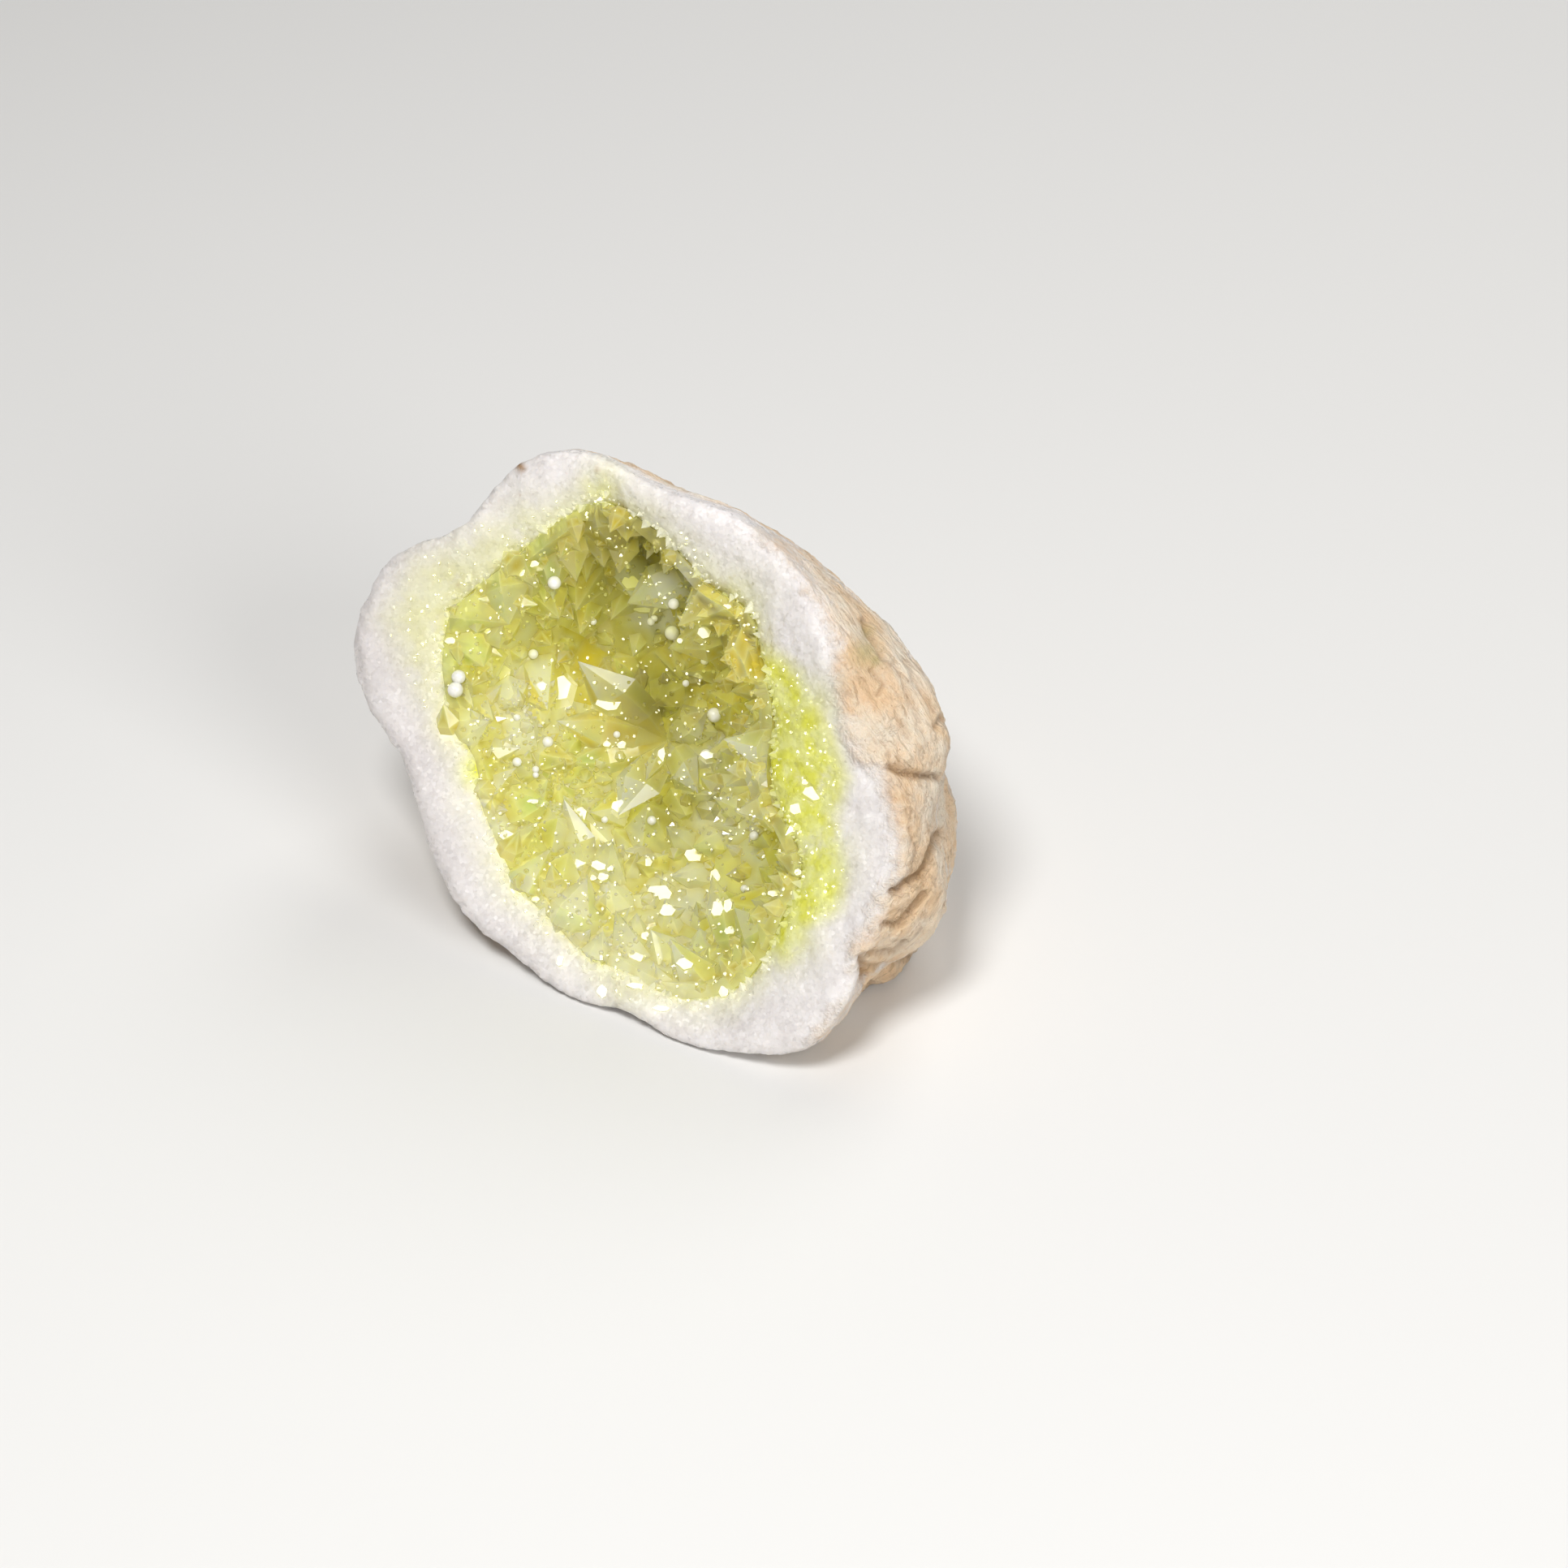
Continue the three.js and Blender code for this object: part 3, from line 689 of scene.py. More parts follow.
def keep_stone_zones(mesh, stage):
    """Marks where the stone is rind, dyed, grooved or stained, where shade is painted, and where the
    crystals hide it.
    """
    points = points_of(mesh)
    bowl = in_bowl(points)
    normals = normals_of(mesh)
    facing = normals @ np.array(BOWL_AXES)
    around = bowl[:, :2] / np.linalg.norm(bowl[:, :2], axis=1, keepdims=True)
    outward = (facing[:, :2] * around).sum(axis=1) - facing[:, 2]
    outside = smooth_step(-0.2, 0.4, outward)
    pixels = photo_pixels(stage, points)
    seen = smooth_step(0.0, 0.2, -(normals @ np.array(camera_axes(stage)[2])))

    # Rind: the outside behind the broken face, and what the photograph shows beyond the white
    buried = smooth_step(0.0005, 0.0065, -bowl[:, 2]) * outside
    shown = smooth_step(30, -30, depth_inside(pixels, WHITE_FACE))
    shown *= smooth_step(0.006, 0.012, bowl[:, 0])
    rind = np.maximum(buried * (1 - seen * smooth_step(0.0, 0.01, bowl[:, 0])), shown * seen)
    keep_numbers(mesh, "rind", rind)
    keep_numbers(mesh, "outside", outside)

    # Marks on the side that the photograph shows, with painted shadow in the grooves and painted shade
    # over the left of the wall
    groove = np.zeros(len(points))
    for line, half_width, share in RIND_GROOVES:
        far = distance_to_line(pixels, line) / half_width
        groove = np.maximum(groove, share * np.exp(-(far**2)))
    keep_numbers(mesh, "groove", groove * seen * outside)
    keep_numbers(mesh, "stain", spots_at(pixels, RIND_STAINS) * seen)
    keep_numbers(mesh, "speck", spots_at(pixels, SPECKS) * seen)
    keep_numbers(mesh, "left_shade", spots_at(pixels, LEFT_SHADE_SPOTS) * seen)

    # Dye: the wall behind the crystals, the lip round them, and the photograph's band, haze and spots
    from_crystals = distances_to(surface_of("crystal_crust"), points)
    inside = 1 - outside
    hollow = inside * smooth_step(0.0012, 0.0006, from_crystals)
    band = 0.95 * smooth_step(-18, 22, depth_inside(pixels, LIME_BAND))
    haze = 0.4 * smooth_step(-30, 40, depth_inside(pixels, PALE_HAZE))
    wall = 0.9 * hollow * (1 - 0.7 * spots_at(pixels, PALE_SPOTS))
    lip = 0.38 * smooth_step(0.0060, 0.0005, from_crystals) * (1 - 0.9 * spots_at(pixels, PALE_SPOTS))
    dye = np.maximum.reduce([band, haze, lip, spots_at(pixels, LIME_SPOTS), wall])
    keep_numbers(mesh, "hollow", hollow)
    keep_numbers(mesh, "dye", dye * np.maximum(inside, seen * (1 - rind)))


class GEODE_OT_stone(bpy.types.Operator):
    """Build the stone with its rind, broken face and wall"""

    bl_idname = "geode.stone"
    bl_label = "Stone"

    def execute(self, context):
        look = context.scene.geode_stone
        stone = merged_copy("stone_shell", "geode_stone")
        smoother = stone.modifiers.new("Rounding", "SUBSURF")
        smoother.levels = smoother.render_levels = 1
        even = stone.modifiers.new("Even Mesh", "REMESH")
        even.mode = "VOXEL"
        even.voxel_size = look.voxel
        soft = stone.modifiers.new("Softening", "SMOOTH")
        soft.factor, soft.iterations = 0.5, 4
        keep_shape(stone)
        keep_stone_zones(stone.data, context.scene.geode_stage)
        values = {
            "Fullness": look.fullness,
            "Lump Height": look.lump_height,
            "Wrinkle Height": look.wrinkle_height,
            "Groove Depth": look.groove_depth,
            "Grain Height": look.grain_height,
            "Material": stone_material(look, facet_group()),
        }
        grow(stone, stone_relief_tree(), values)
        stone.data.shade_smooth()
        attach(stone, "root")
        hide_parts("stone_shell")
        return {"FINISHED"}


# Crystals


def random_number(tree, low, high, seed, kind="FLOAT"):
    """A random number or vector for each point."""
    first = 0 if kind == "FLOAT_VECTOR" else 2
    inputs = {first: low, first + 1: high, "Seed": seed}
    made = add(tree, "FunctionNodeRandomValue", {"data_type": kind}, inputs)
    return made.outputs[0 if kind == "FLOAT_VECTOR" else 1]


def crystal_tree():
    """Small pointed crystals, grown over a surface where its mask is high."""
    sizes = dict.fromkeys(("Spacing", "Smallest", "Largest"), "Float")
    tree, given, made = geometry_tree("Small Crystals", {"Mask": "String", **sizes, "Seed": "Int"})
    points = add(
        tree,
        "GeometryNodeDistributePointsOnFaces",
        {"distribute_method": "POISSON"},
        {
            "Mesh": given["Geometry"],
            "Distance Min": given["Spacing"],
            "Density Max": DENSEST,
            "Density Factor": named(tree, given["Mask"]),
            "Seed": given["Seed"],
        },
    )
    seed = [calc(tree, "ADD", given["Seed"], float(step)) for step in range(1, 4)]
    share = calc(tree, "POWER", random_number(tree, 0.0, 1.0, seed[0]), 1.8)
    span = calc(tree, "SUBTRACT", given["Largest"], given["Smallest"])
    share = calc(tree, "MULTIPLY", share, calc(tree, "SQRT", named(tree, given["Mask"])))
    width = calc(tree, "ADD", given["Smallest"], calc(tree, "MULTIPLY", share, span))
    tall = calc(tree, "MULTIPLY", width, random_number(tree, 0.75, 1.5, seed[1]))
    size = add(tree, "ShaderNodeCombineXYZ", None, {0: width, 1: width, 2: tall}).outputs[0]
    lean = random_number(tree, (-0.5, -0.5, 0.0), (0.5, 0.5, 2 * math.pi), seed[2], "FLOAT_VECTOR")
    lean = add(tree, "FunctionNodeEulerToRotation", None, {0: lean}).outputs[0]
    turn = add(
        tree,
        "FunctionNodeRotateRotation",
        {"rotation_space": "LOCAL"},
        {0: points.outputs["Rotation"], 1: lean},
    ).outputs[0]
    inputs = {
        "Points": points.outputs["Points"],
        "Instance": crystal_shape(tree),
        "Rotation": turn,
        "Scale": size,
    }
    grown = add(tree, "GeometryNodeInstanceOnPoints", None, inputs)
    flat = add(tree, "GeometryNodeRealizeInstances", None, {0: grown.outputs[0]})
    end_tree(tree, flat.outputs[0], given, made)
    return tree


def crystal_shape(tree):
    """A six-sided prism with a pointed end, one unit wide and about as tall, rooted below its place."""
    inputs = {"Vertices": 6, "Side Segments": 2, "Radius Top": 0.0, "Radius Bottom": 0.5, "Depth": 1.0}
    cone = add(tree, "GeometryNodeMeshCone", {"fill_type": "NGON"}, inputs)
    place = tree.nodes.new("GeometryNodeInputPosition").outputs[0]
    height = add(tree, "ShaderNodeSeparateXYZ", None, {0: place}).outputs["Z"]
    shoulder = add(
        tree,
        "FunctionNodeCompare",
        {"data_type": "FLOAT", "operation": "EQUAL"},
        {0: height, 1: 0.5, "Epsilon": 0.1},
    ).outputs[0]
    wide = vector_calc(tree, "MULTIPLY", place, (1.95, 1.95, 0.7))[0]
    inputs = {"Geometry": cone.outputs["Mesh"], "Selection": shoulder, "Position": wide}
    shaped = add(tree, "GeometryNodeSetPosition", None, inputs)
    # Darker at the feet: root colour with painted shade, fading up the crystal
    foot = ramp(tree, height, 0.75, 0.25)
    footed = add(
        tree,
        "GeometryNodeStoreNamedAttribute",
        {"data_type": "FLOAT", "domain": "POINT"},
        {"Geometry": shaped.outputs[0], "Name": "root", "Value": foot},
    )
    tip = add(
        tree,
        "FunctionNodeCompare",
        {"data_type": "FLOAT", "operation": "GREATER_THAN"},
        {0: height, 1: 0.9},
    ).outputs[0]
    inputs = {"Geometry": footed.outputs[0], "Selection": tip, "Offset": (0.12, 0.05, 0.0)}
    pointed = add(tree, "GeometryNodeSetPosition", None, inputs)
    inputs = {"Geometry": pointed.outputs[0], "Translation": (0.0, 0.0, -0.35)}
    rooted = add(tree, "GeometryNodeTransform", None, inputs).outputs[0]
    inputs = {"Geometry": rooted, "Shade Smooth": False}
    return add(tree, "GeometryNodeSetShadeSmooth", None, inputs).outputs[0]


def uneven(tree, name, facet, spread):
    """A zone's mask with an edge that follows the facets, some of them well outside it."""
    chance = calc(tree, "FRACT", calc(tree, "MULTIPLY", facet, spread))
    push = calc(tree, "MULTIPLY", calc(tree, "SUBTRACT", chance, 0.5), 0.8)
    return ramp(tree, calc(tree, "ADD", painted(tree, name), push), 0.2, 0.7)


def crystal_material(look):
    """Milky clear crystal under a glassy skin, tinted by zone and yellow-green in its depth."""
    material, tree, shader, output, place = new_material("clear_crystal")
    facet = painted(tree, "facet")
    pale = uneven(tree, "pale", facet, 23.9)
    tint = mixed(tree, uneven(tree, "gold", facet, 7.1), rgba(look.colour), rgba(look.gold))
    tint = mixed(tree, uneven(tree, "green", facet, 13.7), tint, rgba(look.green))
    tint = mixed(tree, pale, tint, rgba(look.pale))
    bare = calc(tree, "SUBTRACT", 1.0, calc(tree, "MULTIPLY", pale, 0.8))
    dark = calc(tree, "MULTIPLY", calc(tree, "MULTIPLY", ramp(tree, facet, 0.4, 0.0), 0.75), bare)
    # Darker at random facets, and the root colour with painted shade at the feet and in the clefts
    foot = calc(tree, "MULTIPLY", painted(tree, "root"), calc(tree, "SQRT", bare))
    dark = calc(tree, "MAXIMUM", dark, foot)
    tint = mixed(tree, dark, tint, rgba(look.root))
    # Milky veils and random paler facets, and painted highlight on ridges and on the lit facets
    veil = ramp(tree, noise(tree, place, 520.0, 6.0, 0.65, 1.2), 0.48, 0.72)
    bright = calc(tree, "MULTIPLY", ramp(tree, facet, 0.5, 1.0), 0.65)
    bright = calc(tree, "MAXIMUM", bright, calc(tree, "MULTIPLY", veil, 0.35))
    bright = calc(tree, "MAXIMUM", bright, calc(tree, "MULTIPLY", painted(tree, "ridge"), 0.75))
    tint = mixed(tree, calc(tree, "MULTIPLY", bright, bare), tint, rgba(look.milky_and_highlight))
    # Painted shade in the depths of the hollow and under its top lip
    tint = mixed(tree, calc(tree, "MULTIPLY", painted(tree, "deep_shade"), 0.85), tint, rgba(look.deep_shade))
    cloud = ramp(tree, noise(tree, place, 320.0, 4.0), 0.35, 0.7)
    roughness = calc(tree, "ADD", 0.05, calc(tree, "MULTIPLY", cloud, 0.08))
    tree.links.new(tint, shader.inputs["Base Color"])
    tree.links.new(roughness, shader.inputs["Roughness"])
    shader.inputs["Transmission Weight"].default_value = 0.55
    shader.inputs["Subsurface Weight"].default_value = 1.0
    shader.inputs["Subsurface Radius"].default_value = (1.0, 0.95, 0.35)
    shader.inputs["Subsurface Scale"].default_value = 0.0012
    shader.inputs["IOR"].default_value = 1.544

    # Lamps shine through the crystals, where glass alone would cast a full shadow
    lit_through = add(tree, "ShaderNodeBsdfTransparent", None, {"Color": rgba(look.lit_through)})
    from_lamp = tree.nodes.new("ShaderNodeLightPath").outputs["Is Shadow Ray"]
    inputs = {0: from_lamp, 1: shader.outputs[0], 2: lit_through.outputs[0]}
    skin = add(tree, "ShaderNodeMixShader", None, inputs)
    tree.links.new(skin.outputs[0], output.inputs["Surface"])
    depth = tree.nodes.new("ShaderNodeVolumeAbsorption")
    depth.inputs["Color"].default_value = rgba(look.absorption)
    depth.inputs["Density"].default_value = look.density
    tree.links.new(depth.outputs[0], output.inputs["Volume"])
    return material


def sugar_material(look):
    """Clear sugary crystal of the rim, white or yellow-green as its wall is dyed."""
    material, tree, shader, _, _ = new_material("clear_sugar")
    facet = painted(tree, "facet")
    tint = mixed(tree, painted(tree, "dye"), rgba(look.sugar_white), rgba(look.sugar_dyed))
    tint = mixed(tree, calc(tree, "MULTIPLY", facet, 0.5), tint, rgba(look.sugar_white))
    tree.links.new(tint, shader.inputs["Base Color"])
    roughness = calc(tree, "ADD", 0.06, calc(tree, "MULTIPLY", facet, 0.2))
    tree.links.new(roughness, shader.inputs["Roughness"])
    shader.inputs["Transmission Weight"].default_value = 0.35
    shader.inputs["IOR"].default_value = 1.544
    return material


def grow_into_wall(mesh, contact):
    """Moves the back of the crust just into the wall that it grew on."""
    wall = surface_of("stone_shell")
    for corner in mesh.vertices:
        nearest, _, _, gap = wall.find_nearest(corner.co)
        if gap < WALL_GAP:
            corner.co = nearest + (nearest - corner.co).normalized() * contact


def keep_tints(mesh, stage):
    """Marks the pale, golden and green crystals, and the painted shade far down in the hollow."""
    points = points_of(mesh)
    pixels = photo_pixels(stage, points)
    zones = {"gold": GOLD_SPOTS, "green": GREEN_SPOTS, "deep_shade": DEEP_SHADE_SPOTS}
    for name, spots in zones.items():
        keep_numbers(mesh, name, spots_at(pixels, spots))
    scattered = SCATTERED_PALE * (1 - spots_at(pixels, GOLD_SPOTS))
    keep_numbers(mesh, "pale", np.maximum(spots_at(pixels, PALE_SPOTS), scattered))


def keep_facets(mesh, seed):
    """Gives every flat facet a random number of its own, from 0 to 1."""
    shape = bmesh.new()
    shape.from_mesh(mesh)
    shape.normal_update()
    facet_of = np.full(len(shape.faces), -1)
    count = 0
    for first in shape.faces:
        if facet_of[first.index] >= 0:
            continue
        waiting = [first]
        facet_of[first.index] = count
        while waiting:
            face = waiting.pop()
            for edge in face.edges:
                if edge.calc_face_angle(math.pi) > FLAT_ANGLE:
                    continue
                for other in edge.link_faces:
                    if facet_of[other.index] < 0:
                        facet_of[other.index] = count
                        waiting.append(other)
        count += 1
    shape.free()
    numbers = np.random.default_rng(seed).uniform(0, 1, count).astype(np.float32)
    mesh.attributes.new("facet", "FLOAT", "FACE").data.foreach_set("value", numbers[facet_of])


def edge_points(mesh, sign):
    """Points along the ridges of the crystals, with sign 1, or along their clefts, with sign -1."""
    shape = bmesh.new()
    shape.from_mesh(mesh)
    shape.normal_update()
    points = []
    for edge in shape.edges:
        if len(edge.link_faces) == 2 and sign * edge.calc_face_angle_signed() > EDGE_ANGLE:
            start, end = (corner.co for corner in edge.verts)
            steps = max(1, round(edge.calc_length() / EDGE_STEP))
            points += [start.lerp(end, step / steps) for step in range(steps + 1)]
    shape.free()
    found = KDTree(len(points))
    for index, point in enumerate(points):
        found.insert(point, index)
    found.balance()
    return found


def keep_nearness(mesh, name, places, reach):
    """Marks how near each point of a mesh is to some places."""
    far = np.array([places.find(point)[2] for point in points_of(mesh)])
    keep_numbers(mesh, name, np.exp(-far / reach))


def split_long_edges(mesh, longest):
    """Cuts the front of the crust into small triangles, so that tints can change along its facets."""
    wall = surface_of("stone_shell")
    shape = bmesh.new()
    shape.from_mesh(mesh)
    for _ in range(SPLIT_PASSES):
        front = {corner for corner in shape.verts if wall.find_nearest(corner.co)[3] > WALL_GAP}
        long = [e for e in shape.edges if e.calc_length() > longest and not front.isdisjoint(e.verts)]
        bmesh.ops.subdivide_edges(shape, edges=long, cuts=1)
        bmesh.ops.triangulate(shape, faces=[face for face in shape.faces if len(face.verts) > 3])
    shape.to_mesh(mesh)
    shape.free()


def poke_facets(mesh):
    """Adds a corner in the middle of each facet, and marks the facets' edges as ridges, which get a
    painted highlight.
    """
    ridge = np.ones(len(mesh.vertices))
    shape = bmesh.new()
    shape.from_mesh(mesh)
    bmesh.ops.poke(shape, faces=shape.faces)
    shape.to_mesh(mesh)
    shape.free()
    keep_numbers(mesh, "ridge", np.pad(ridge, (0, len(mesh.vertices) - len(ridge))))


def keep_growth(mesh, stage):
    """Marks where small crystals grow on the crust, and where fine ones do."""
    points = points_of(mesh)
    wall = distances_to(surface_of("stone_shell"), points)
    front = smooth_step(0.0006, 0.0010, wall)
    keep_numbers(mesh, "feet", front * smooth_step(0.0060, 0.0025, wall))
    fine = np.maximum(spots_at(photo_pixels(stage, points), SUGAR_SPOTS), 0.25)
    keep_numbers(mesh, "sugar", front * fine)


def grown_on(carrier, name, mask, spacing, widths, seed, material):
    """A new piece of small crystals, grown where the mask kept on another mesh is high."""
    piece = new_object(name, carrier.data.copy())
    values = {
        "Mask": mask,
        "Spacing": spacing,
        "Smallest": widths[0],
        "Largest": widths[1],
        "Seed": seed,
        "Material": material,
    }
    grow(piece, crystal_tree(), values)
    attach(piece, "root")
    piece.visible_shadow = False
    return piece.data


class GEODE_OT_crystals(bpy.types.Operator):
    """Build the crust of crystals that lines the hollow, and the small ones between them"""

    bl_idname = "geode.crystals"
    bl_label = "Crystals"

    def execute(self, context):
        look = context.scene.geode_crystals
        stage = context.scene.geode_stage
        material = crystal_material(look)
        crust = merged_copy("crystal_crust", "crystal_lining")
        keep_growth(crust.data, stage)
        widths = look.smallest, look.largest
        small = grown_on(crust, "small_crystals", "feet", look.spacing, widths, SMALL_SEED, material)
        widths = look.sugar_smallest, look.sugar_largest
        fine = grown_on(crust, "fine_crystals", "sugar", look.sugar_spacing, widths, FINE_SEED, material)
        for mesh, seed in ((small, SMALL_SEED), (fine, FINE_SEED)):
            keep_tints(mesh, stage)
            poke_facets(mesh)
            keep_facets(mesh, seed)
        ridges = edge_points(crust.data, 1)
        clefts = edge_points(crust.data, -1)
        split_long_edges(crust.data, look.crust_mesh)
        keep_tints(crust.data, stage)
        # Painted highlight along ridges, and root colour with painted shade along clefts
        keep_nearness(crust.data, "ridge", ridges, RIDGE_REACH)
        keep_nearness(crust.data, "root", clefts, CLEFT_REACH)
        keep_facets(crust.data, CRUST_SEED)
        grow_into_wall(crust.data, look.contact)
        crust.data.materials.clear()
        crust.data.materials.append(material)
        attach(crust, "root")
        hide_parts("crystal_crust")
        return {"FINISHED"}


class GEODE_OT_druse(bpy.types.Operator):
    """Build the fine druse on the broken face round the hollow"""

    bl_idname = "geode.druse"
    bl_label = "Rim Druse"

    def execute(self, context):
        look = context.scene.geode_crystals
        stone = bpy.data.objects["geode_stone"]
        points = points_of(stone.data)
        from_crust = distances_to(surface_of("crystal_crust"), points)
        dye = numbers_of(stone.data, "dye")
        upright = normals_of(stone.data) @ np.array(BOWL_AXES)[:, 2]
        face = smooth_step(-0.3, 0.2, upright)
        ledge = smooth_step(-0.8, -0.2, upright) * (1 - numbers_of(stone.data, "outside"))
        lip = 0.9 * smooth_step(0.0032, 0.0004, from_crust) * ledge
        keep_numbers(stone.data, "lip", lip)
        keep_numbers(stone.data, "rim", 0.3 * smooth_step(0.15, 0.6, dye) * face * (1 - lip))
        material = sugar_material(look)
        widths = look.lip_smallest, look.lip_largest
        mesh = grown_on(stone, "lip_druse", "lip", look.lip_spacing, widths, LIP_SEED, material)
        keep_facets(mesh, LIP_SEED)
        widths = look.rim_smallest, look.rim_largest
        mesh = grown_on(stone, "rim_druse", "rim", look.rim_spacing, widths, RIM_SEED, material)
        keep_facets(mesh, RIM_SEED)
        for name in ("lip", "rim"):
            stone.data.attributes.remove(stone.data.attributes[name])
        return {"FINISHED"}


# Facets that mirror the key light, as in the photograph: pixel across and down, width and height
LIT_FACETS = [
    (690, 848, 0.0030, 0.0034), (622, 832, 0.0018, 0.0026), (668, 846, 0.0013, 0.0012),
    (750, 868, 0.0034, 0.0017), (748, 917, 0.0011, 0.0009), (766, 918, 0.0013, 0.0011),
    (868, 780, 0.0018, 0.0016), (777, 718, 0.0022, 0.0018), (793, 752, 0.0026, 0.0007),
    (871, 931, 0.0018, 0.0011), (762, 993, 0.0017, 0.0017), (815, 932, 0.0010, 0.0026),
    (716, 1005, 0.0016, 0.0022), (637, 940, 0.0013, 0.0011), (625, 1030, 0.0021, 0.0013),
    (657, 988, 0.0016, 0.0006), (855, 1054, 0.0024, 0.0019), (716, 1064, 0.0016, 0.0019),
    (739, 1066, 0.0021, 0.0015), (743, 1080, 0.0015, 0.0013), (731, 1082, 0.0009, 0.0008),
    (752, 1070, 0.0010, 0.0008), (799, 1063, 0.0011, 0.0012), (812, 1102, 0.0034, 0.0026),
    (822, 1122, 0.0022, 0.0016), (881, 1080, 0.0014, 0.0020), (884, 1120, 0.0016, 0.0022),
    (897, 1116, 0.0011, 0.0018), (899, 1147, 0.0014, 0.0011), (796, 1155, 0.0013, 0.0015),
    (844, 1188, 0.0021, 0.0015), (892, 1222, 0.0012, 0.0016), (783, 1180, 0.0024, 0.0012),
    (783, 1215, 0.0022, 0.0008), (742, 1222, 0.0014, 0.0017), (815, 1243, 0.0022, 0.0008),
    (956, 1102, 0.0022, 0.0010), (1002, 978, 0.0026, 0.0018), (981, 997, 0.0017, 0.0015),
    (983, 1075, 0.0010, 0.0009), (981, 1018, 0.0008, 0.0008), (992, 964, 0.0009, 0.0007),
    (656, 695, 0.0018, 0.0009), (642, 706, 0.0012, 0.0010), (555, 790, 0.0015, 0.0009),
    (600, 776, 0.0012, 0.0012), (690, 1184, 0.0010, 0.0014), (660, 1108, 0.0011, 0.0008),
    (896, 748, 0.0012, 0.0006), (838, 790, 0.0008, 0.0007),
]
# Small glints between them: how many are tried, over which pixels, and how wide they are
GLINT_TRIES = 1100
GLINT_FIELD = (470, 590), (1050, 1250)
GLINT_WIDTHS = (0.00016, 0.0005)
# Their stubs of crystal: sides, unevenness of the corners, how far they stand out and reach in, how much
# wider the root is, and the number that each facet has in place of a random one, high for a paler painted
# highlight
FACET_SIDES = 6
FACET_UNEVEN = 0.6
FACET_LIFT = 0.0003
FACET_ROOT = 0.0016
FACET_FLARE = 1.5
FACET_NUMBER = 0.9


def small_glints(chance):
    """Rows like those of the lit facets, at random places in the hollow and its dyed band."""
    pixels = chance.uniform(*GLINT_FIELD, (GLINT_TRIES, 2))
    sizes = chance.uniform(*GLINT_WIDTHS, (GLINT_TRIES, 2))
    inside = np.maximum(depth_inside(pixels, PALE_HAZE), depth_inside(pixels, LIME_BAND)) > 0
    return np.hstack([pixels, sizes])[inside].tolist()


def carrier_surfaces(context):
    """The surfaces that facets and beads sit on."""
    view = context.evaluated_depsgraph_get()
    return [BVHTree.FromObject(bpy.data.objects[name], view) for name in CARRIERS]


def first_hit(stage, surfaces, across, down):
    """Where the line of sight through a pixel first meets one of the surfaces, and its direction."""
    start, way = photo_ray(stage, across, down)
    hits = [surface.ray_cast(start, way) for surface in surfaces]
    return min((hit for hit in hits if hit[0]), key=lambda hit: hit[3])[0], way


def facet_crystal(shape, place, normal, width, height, shifts):
    """Adds a stub of crystal whose flat end has the given normal, with uneven corners."""
    side = normal.orthogonal().normalized()
    upright = Vector((0, 0, 1)) - normal * normal.z
    side = upright.cross(normal).normalized() if upright.length > 0.01 else side
    upright = normal.cross(side)
    rings = []
    for lift, swell in ((FACET_LIFT, 1.0), (-FACET_ROOT, FACET_FLARE)):
        ring = []
        for corner in range(FACET_SIDES):
            turn = 2 * math.pi * (corner + shifts[corner]) / FACET_SIDES
            across = side * math.cos(turn) * width / 2 + upright * math.sin(turn) * height / 2
            ring.append(shape.verts.new(place + across * swell + normal * lift))
        rings.append(ring)
    shape.faces.new(rings[0])
    shape.faces.new(reversed(rings[1]))
    for corner in range(FACET_SIDES):
        after = (corner + 1) % FACET_SIDES
        shape.faces.new([rings[0][after], rings[0][corner], rings[1][corner], rings[1][after]])


class GEODE_OT_facets(bpy.types.Operator):
    """Build the facets that flash in the light"""

    bl_idname = "geode.facets"
    bl_label = "Bright Facets"

    def execute(self, context):
        stage = context.scene.geode_stage
        surfaces = carrier_surfaces(context)
        chance = np.random.default_rng(FACET_SEED)
        shape = bmesh.new()
        for across, down, width, height in [*LIT_FACETS, *small_glints(chance)]:
            place, way = first_hit(stage, surfaces, across, down)
            to_light = (Vector(stage.key_place) - place).normalized()
            normal = (to_light - way).normalized()
            shifts = chance.uniform(0, FACET_UNEVEN, FACET_SIDES)
            facet_crystal(shape, place, normal, width, height, shifts)
        mesh = bpy.data.meshes.new("bright_facets")
        shape.normal_update()
        bmesh.ops.recalc_face_normals(shape, faces=shape.faces)
        shape.to_mesh(mesh)
        shape.free()
        facets = new_object("bright_facets", mesh)
        keep_tints(mesh, stage)
        # Pale all over, and paler still by their facet number: a painted highlight, so that their glints
        # read white
        keep_numbers(mesh, "pale", np.ones(len(mesh.vertices)))
        numbers = np.full(len(mesh.polygons), FACET_NUMBER)
        mesh.attributes.new("facet", "FLOAT", "FACE").data.foreach_set("value", numbers)
        mesh.materials.append(bpy.data.materials["clear_crystal"])
        facets.visible_shadow = False
        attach(facets, "root")
        return {"FINISHED"}


# Beads: pixel across and down in the photograph, and radius
BEADS = [
    (828, 780, 0.00095), (683, 718, 0.00085), (880, 881, 0.00095), (565, 834, 0.00090),
    (561, 850, 0.00100), (830, 744, 0.00070), (657, 806, 0.00065), (806, 762, 0.00045),
    (731, 766, 0.00045), (802, 766, 0.00050), (868, 815, 0.00050), (845, 842, 0.00045),
    (760, 905, 0.00045), (637, 884, 0.00045), (675, 914, 0.00070), (637, 939, 0.00060),
    (660, 948, 0.00045), (870, 930, 0.00075), (803, 1011, 0.00060), (700, 870, 0.00045),
    (929, 1030, 0.00060), (917, 1095, 0.00050), (745, 1010, 0.00045), (660, 955, 0.00040),
]
# How far a bead's middle stands off its place, as a share of its radius
BEAD_LIFT = 0.4


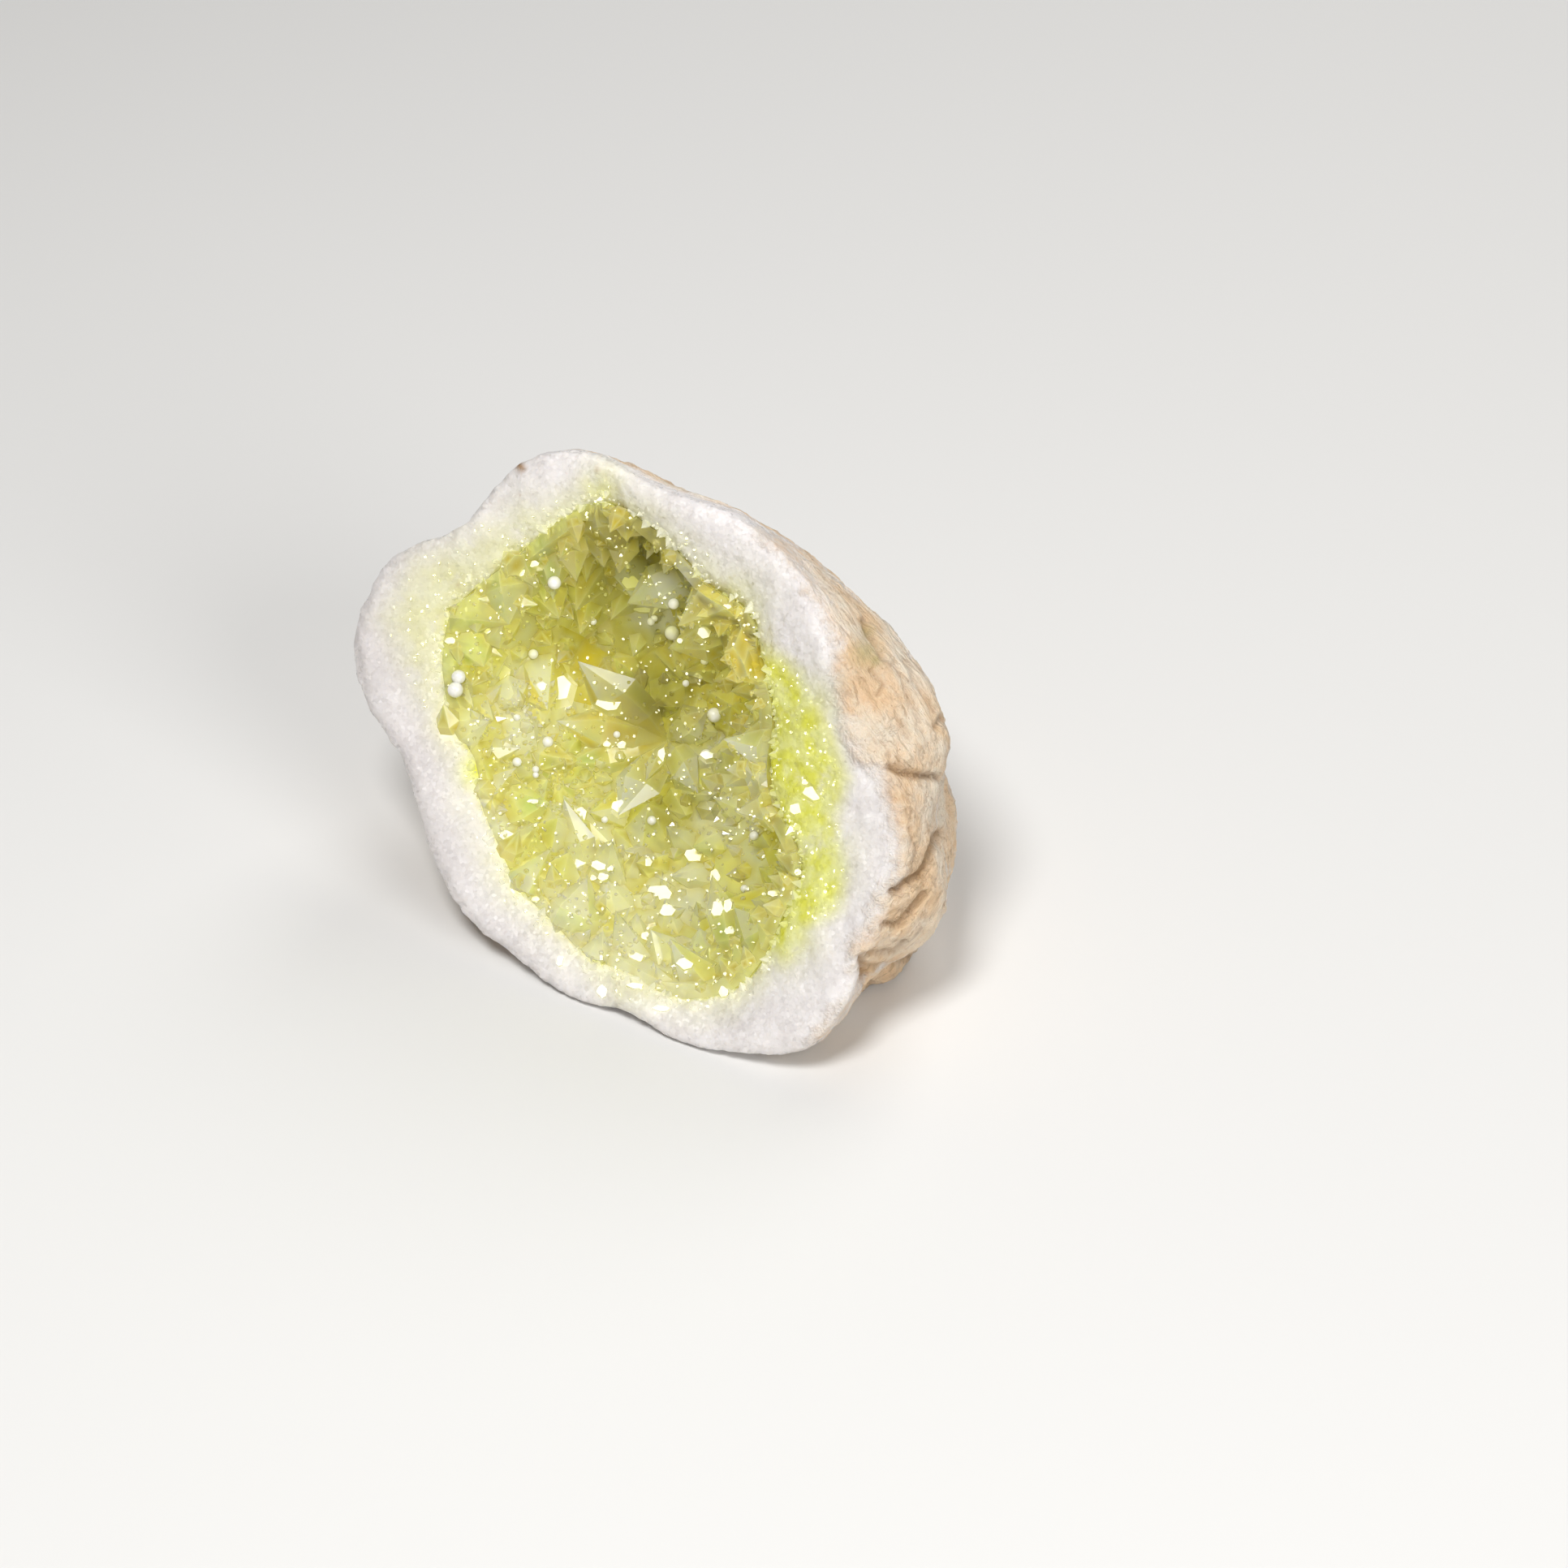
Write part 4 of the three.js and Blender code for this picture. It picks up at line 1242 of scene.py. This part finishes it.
def bead_tree():
    """A round bead on every point, as wide as the point says."""
    tree, given, made = geometry_tree("Pearly Beads", {})
    ball = add(tree, "GeometryNodeMeshUVSphere", None, {"Segments": 24, "Rings": 14, "Radius": 1.0})
    inputs = {
        "Points": given["Geometry"],
        "Instance": ball.outputs["Mesh"],
        "Scale": named(tree, "radius"),
    }
    grown = add(tree, "GeometryNodeInstanceOnPoints", None, inputs)
    flat = add(tree, "GeometryNodeRealizeInstances", None, {0: grown.outputs[0]})
    smooth = add(tree, "GeometryNodeSetShadeSmooth", None, {"Geometry": flat.outputs[0]})
    end_tree(tree, smooth.outputs[0], given, made)
    return tree


def pearl_material(look):
    """Milky white chalcedony with a soft gloss."""
    material, tree, shader, _, place = new_material("pearly_bead")
    cloud = ramp(tree, noise(tree, place, 900.0, 3.0), 0.3, 0.7)
    tint = mixed(tree, cloud, rgba(look.pearl), rgba(look.pearl_shade))
    tree.links.new(tint, shader.inputs["Base Color"])
    roughness = calc(tree, "ADD", 0.12, calc(tree, "MULTIPLY", cloud, 0.15))
    tree.links.new(roughness, shader.inputs["Roughness"])
    shader.inputs["Coat Weight"].default_value = 0.6
    shader.inputs["Coat Roughness"].default_value = 0.05
    shader.inputs["Subsurface Weight"].default_value = 0.3
    shader.inputs["Subsurface Radius"].default_value = (1.0, 1.0, 0.8)
    shader.inputs["Subsurface Scale"].default_value = 0.0008
    return material


class GEODE_OT_beads(bpy.types.Operator):
    """Build the pearly beads that sit on the crystals"""

    bl_idname = "geode.beads"
    bl_label = "Beads"

    def execute(self, context):
        stage = context.scene.geode_stage
        surfaces = carrier_surfaces(context)
        places, sizes = [], []
        for across, down, radius in BEADS:
            place, way = first_hit(stage, surfaces, across, down)
            places.append(place - way * radius * BEAD_LIFT)
            sizes.append(radius)
        mesh = bpy.data.meshes.new("pearly_beads")
        mesh.from_pydata(places, [], [])
        mesh.attributes.new("radius", "FLOAT", "POINT").data.foreach_set("value", sizes)
        beads = new_object("pearly_beads", mesh)
        grow(beads, bead_tree(), {"Material": pearl_material(context.scene.geode_crystals)})
        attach(beads, "root")
        return {"FINISHED"}


# Stage


def soft_light(name, place, width, power):
    """A round area light that aims at the middle of the object."""
    light = bpy.data.lights.new(name, "AREA")
    light.shape = "DISK"
    light.size = width
    light.energy = power
    lamp = bpy.data.objects.new(name, light)
    lamp.location = place
    lamp.rotation_euler = (Vector(LIGHT_TARGET) - Vector(place)).to_track_quat("-Z", "Y").to_euler()
    bpy.context.scene.collection.objects.link(lamp)


class GEODE_OT_stage(bpy.types.Operator):
    """Build the floor, the lights and the camera"""

    bl_idname = "geode.stage"
    bl_label = "Stage"

    def execute(self, context):
        scene = context.scene
        stage = scene.geode_stage
        floor_mesh = bpy.data.meshes.new("floor")
        signs = ((-1, -1), (1, -1), (1, 1), (-1, 1))
        corners = [(across * FLOOR_REACH, along * FLOOR_REACH, 0) for across, along in signs]
        floor_mesh.from_pydata(corners, [], [(0, 1, 2, 3)])
        floor = new_object("floor", floor_mesh)
        material, _, shader, _, _ = new_material("pale_floor")
        shader.inputs["Base Color"].default_value = rgba(stage.floor_colour)
        shader.inputs["Roughness"].default_value = 0.9
        floor_mesh.materials.append(material)

        soft_light("key", stage.key_place, KEY_WIDTH, KEY_POWER)
        soft_light("back", *BACK_LIGHT)
        soft_light("fill", *FILL_LIGHT)

        world = bpy.data.worlds.new("room")
        scene.world = world
        world.use_nodes = True
        sky = world.node_tree.nodes["Background"]
        sky.inputs["Color"].default_value = (1, 1, 1, 1)
        sky.inputs["Strength"].default_value = stage.world_strength
        scene.view_settings.view_transform = "Standard"

        data = bpy.data.cameras.new("photo_camera")
        data.lens = stage.lens
        data.sensor_width = stage.sensor
        data.clip_start = 0.01
        camera = bpy.data.objects.new("photo_camera", data)
        camera.location = camera_place(stage)
        camera.rotation_euler = (math.pi / 2 - stage.elevation, 0, 0)
        scene.collection.objects.link(camera)
        scene.camera = camera
        return {"FINISHED"}


# Panel


class GEODE_PT_panel(bpy.types.Panel):
    """Lists the steps that build the geode"""

    bl_idname = "GEODE_PT_panel"
    bl_label = "Geode Half"
    bl_space_type = "VIEW_3D"
    bl_region_type = "UI"
    bl_category = "Geode"

    def draw(self, context):
        for step in OPERATORS:
            self.layout.operator(step.bl_idname)
        for name, group in SETTINGS.items():
            settings = getattr(context.scene, name)
            for label in group.__annotations__:
                self.layout.prop(settings, label)


SETTINGS = {"geode_stone": GeodeStone, "geode_crystals": GeodeCrystals, "geode_stage": GeodeStage}
OPERATORS = (
    GEODE_OT_stone,
    GEODE_OT_crystals,
    GEODE_OT_druse,
    GEODE_OT_facets,
    GEODE_OT_beads,
    GEODE_OT_stage,
)


def register():
    for name, group in SETTINGS.items():
        bpy.utils.register_class(group)
        setattr(bpy.types.Scene, name, bpy.props.PointerProperty(type=group))
    for part in (*OPERATORS, GEODE_PT_panel):
        bpy.utils.register_class(part)


def unregister():
    for part in (GEODE_PT_panel, *reversed(OPERATORS)):
        bpy.utils.unregister_class(part)
    for name, group in SETTINGS.items():
        delattr(bpy.types.Scene, name)
        bpy.utils.unregister_class(group)


def main():
    register()
    bpy.ops.geode.stone()
    bpy.ops.geode.crystals()
    bpy.ops.geode.druse()
    bpy.ops.geode.facets()
    bpy.ops.geode.beads()
    bpy.ops.geode.stage()


if __name__ == "__main__":
    main()
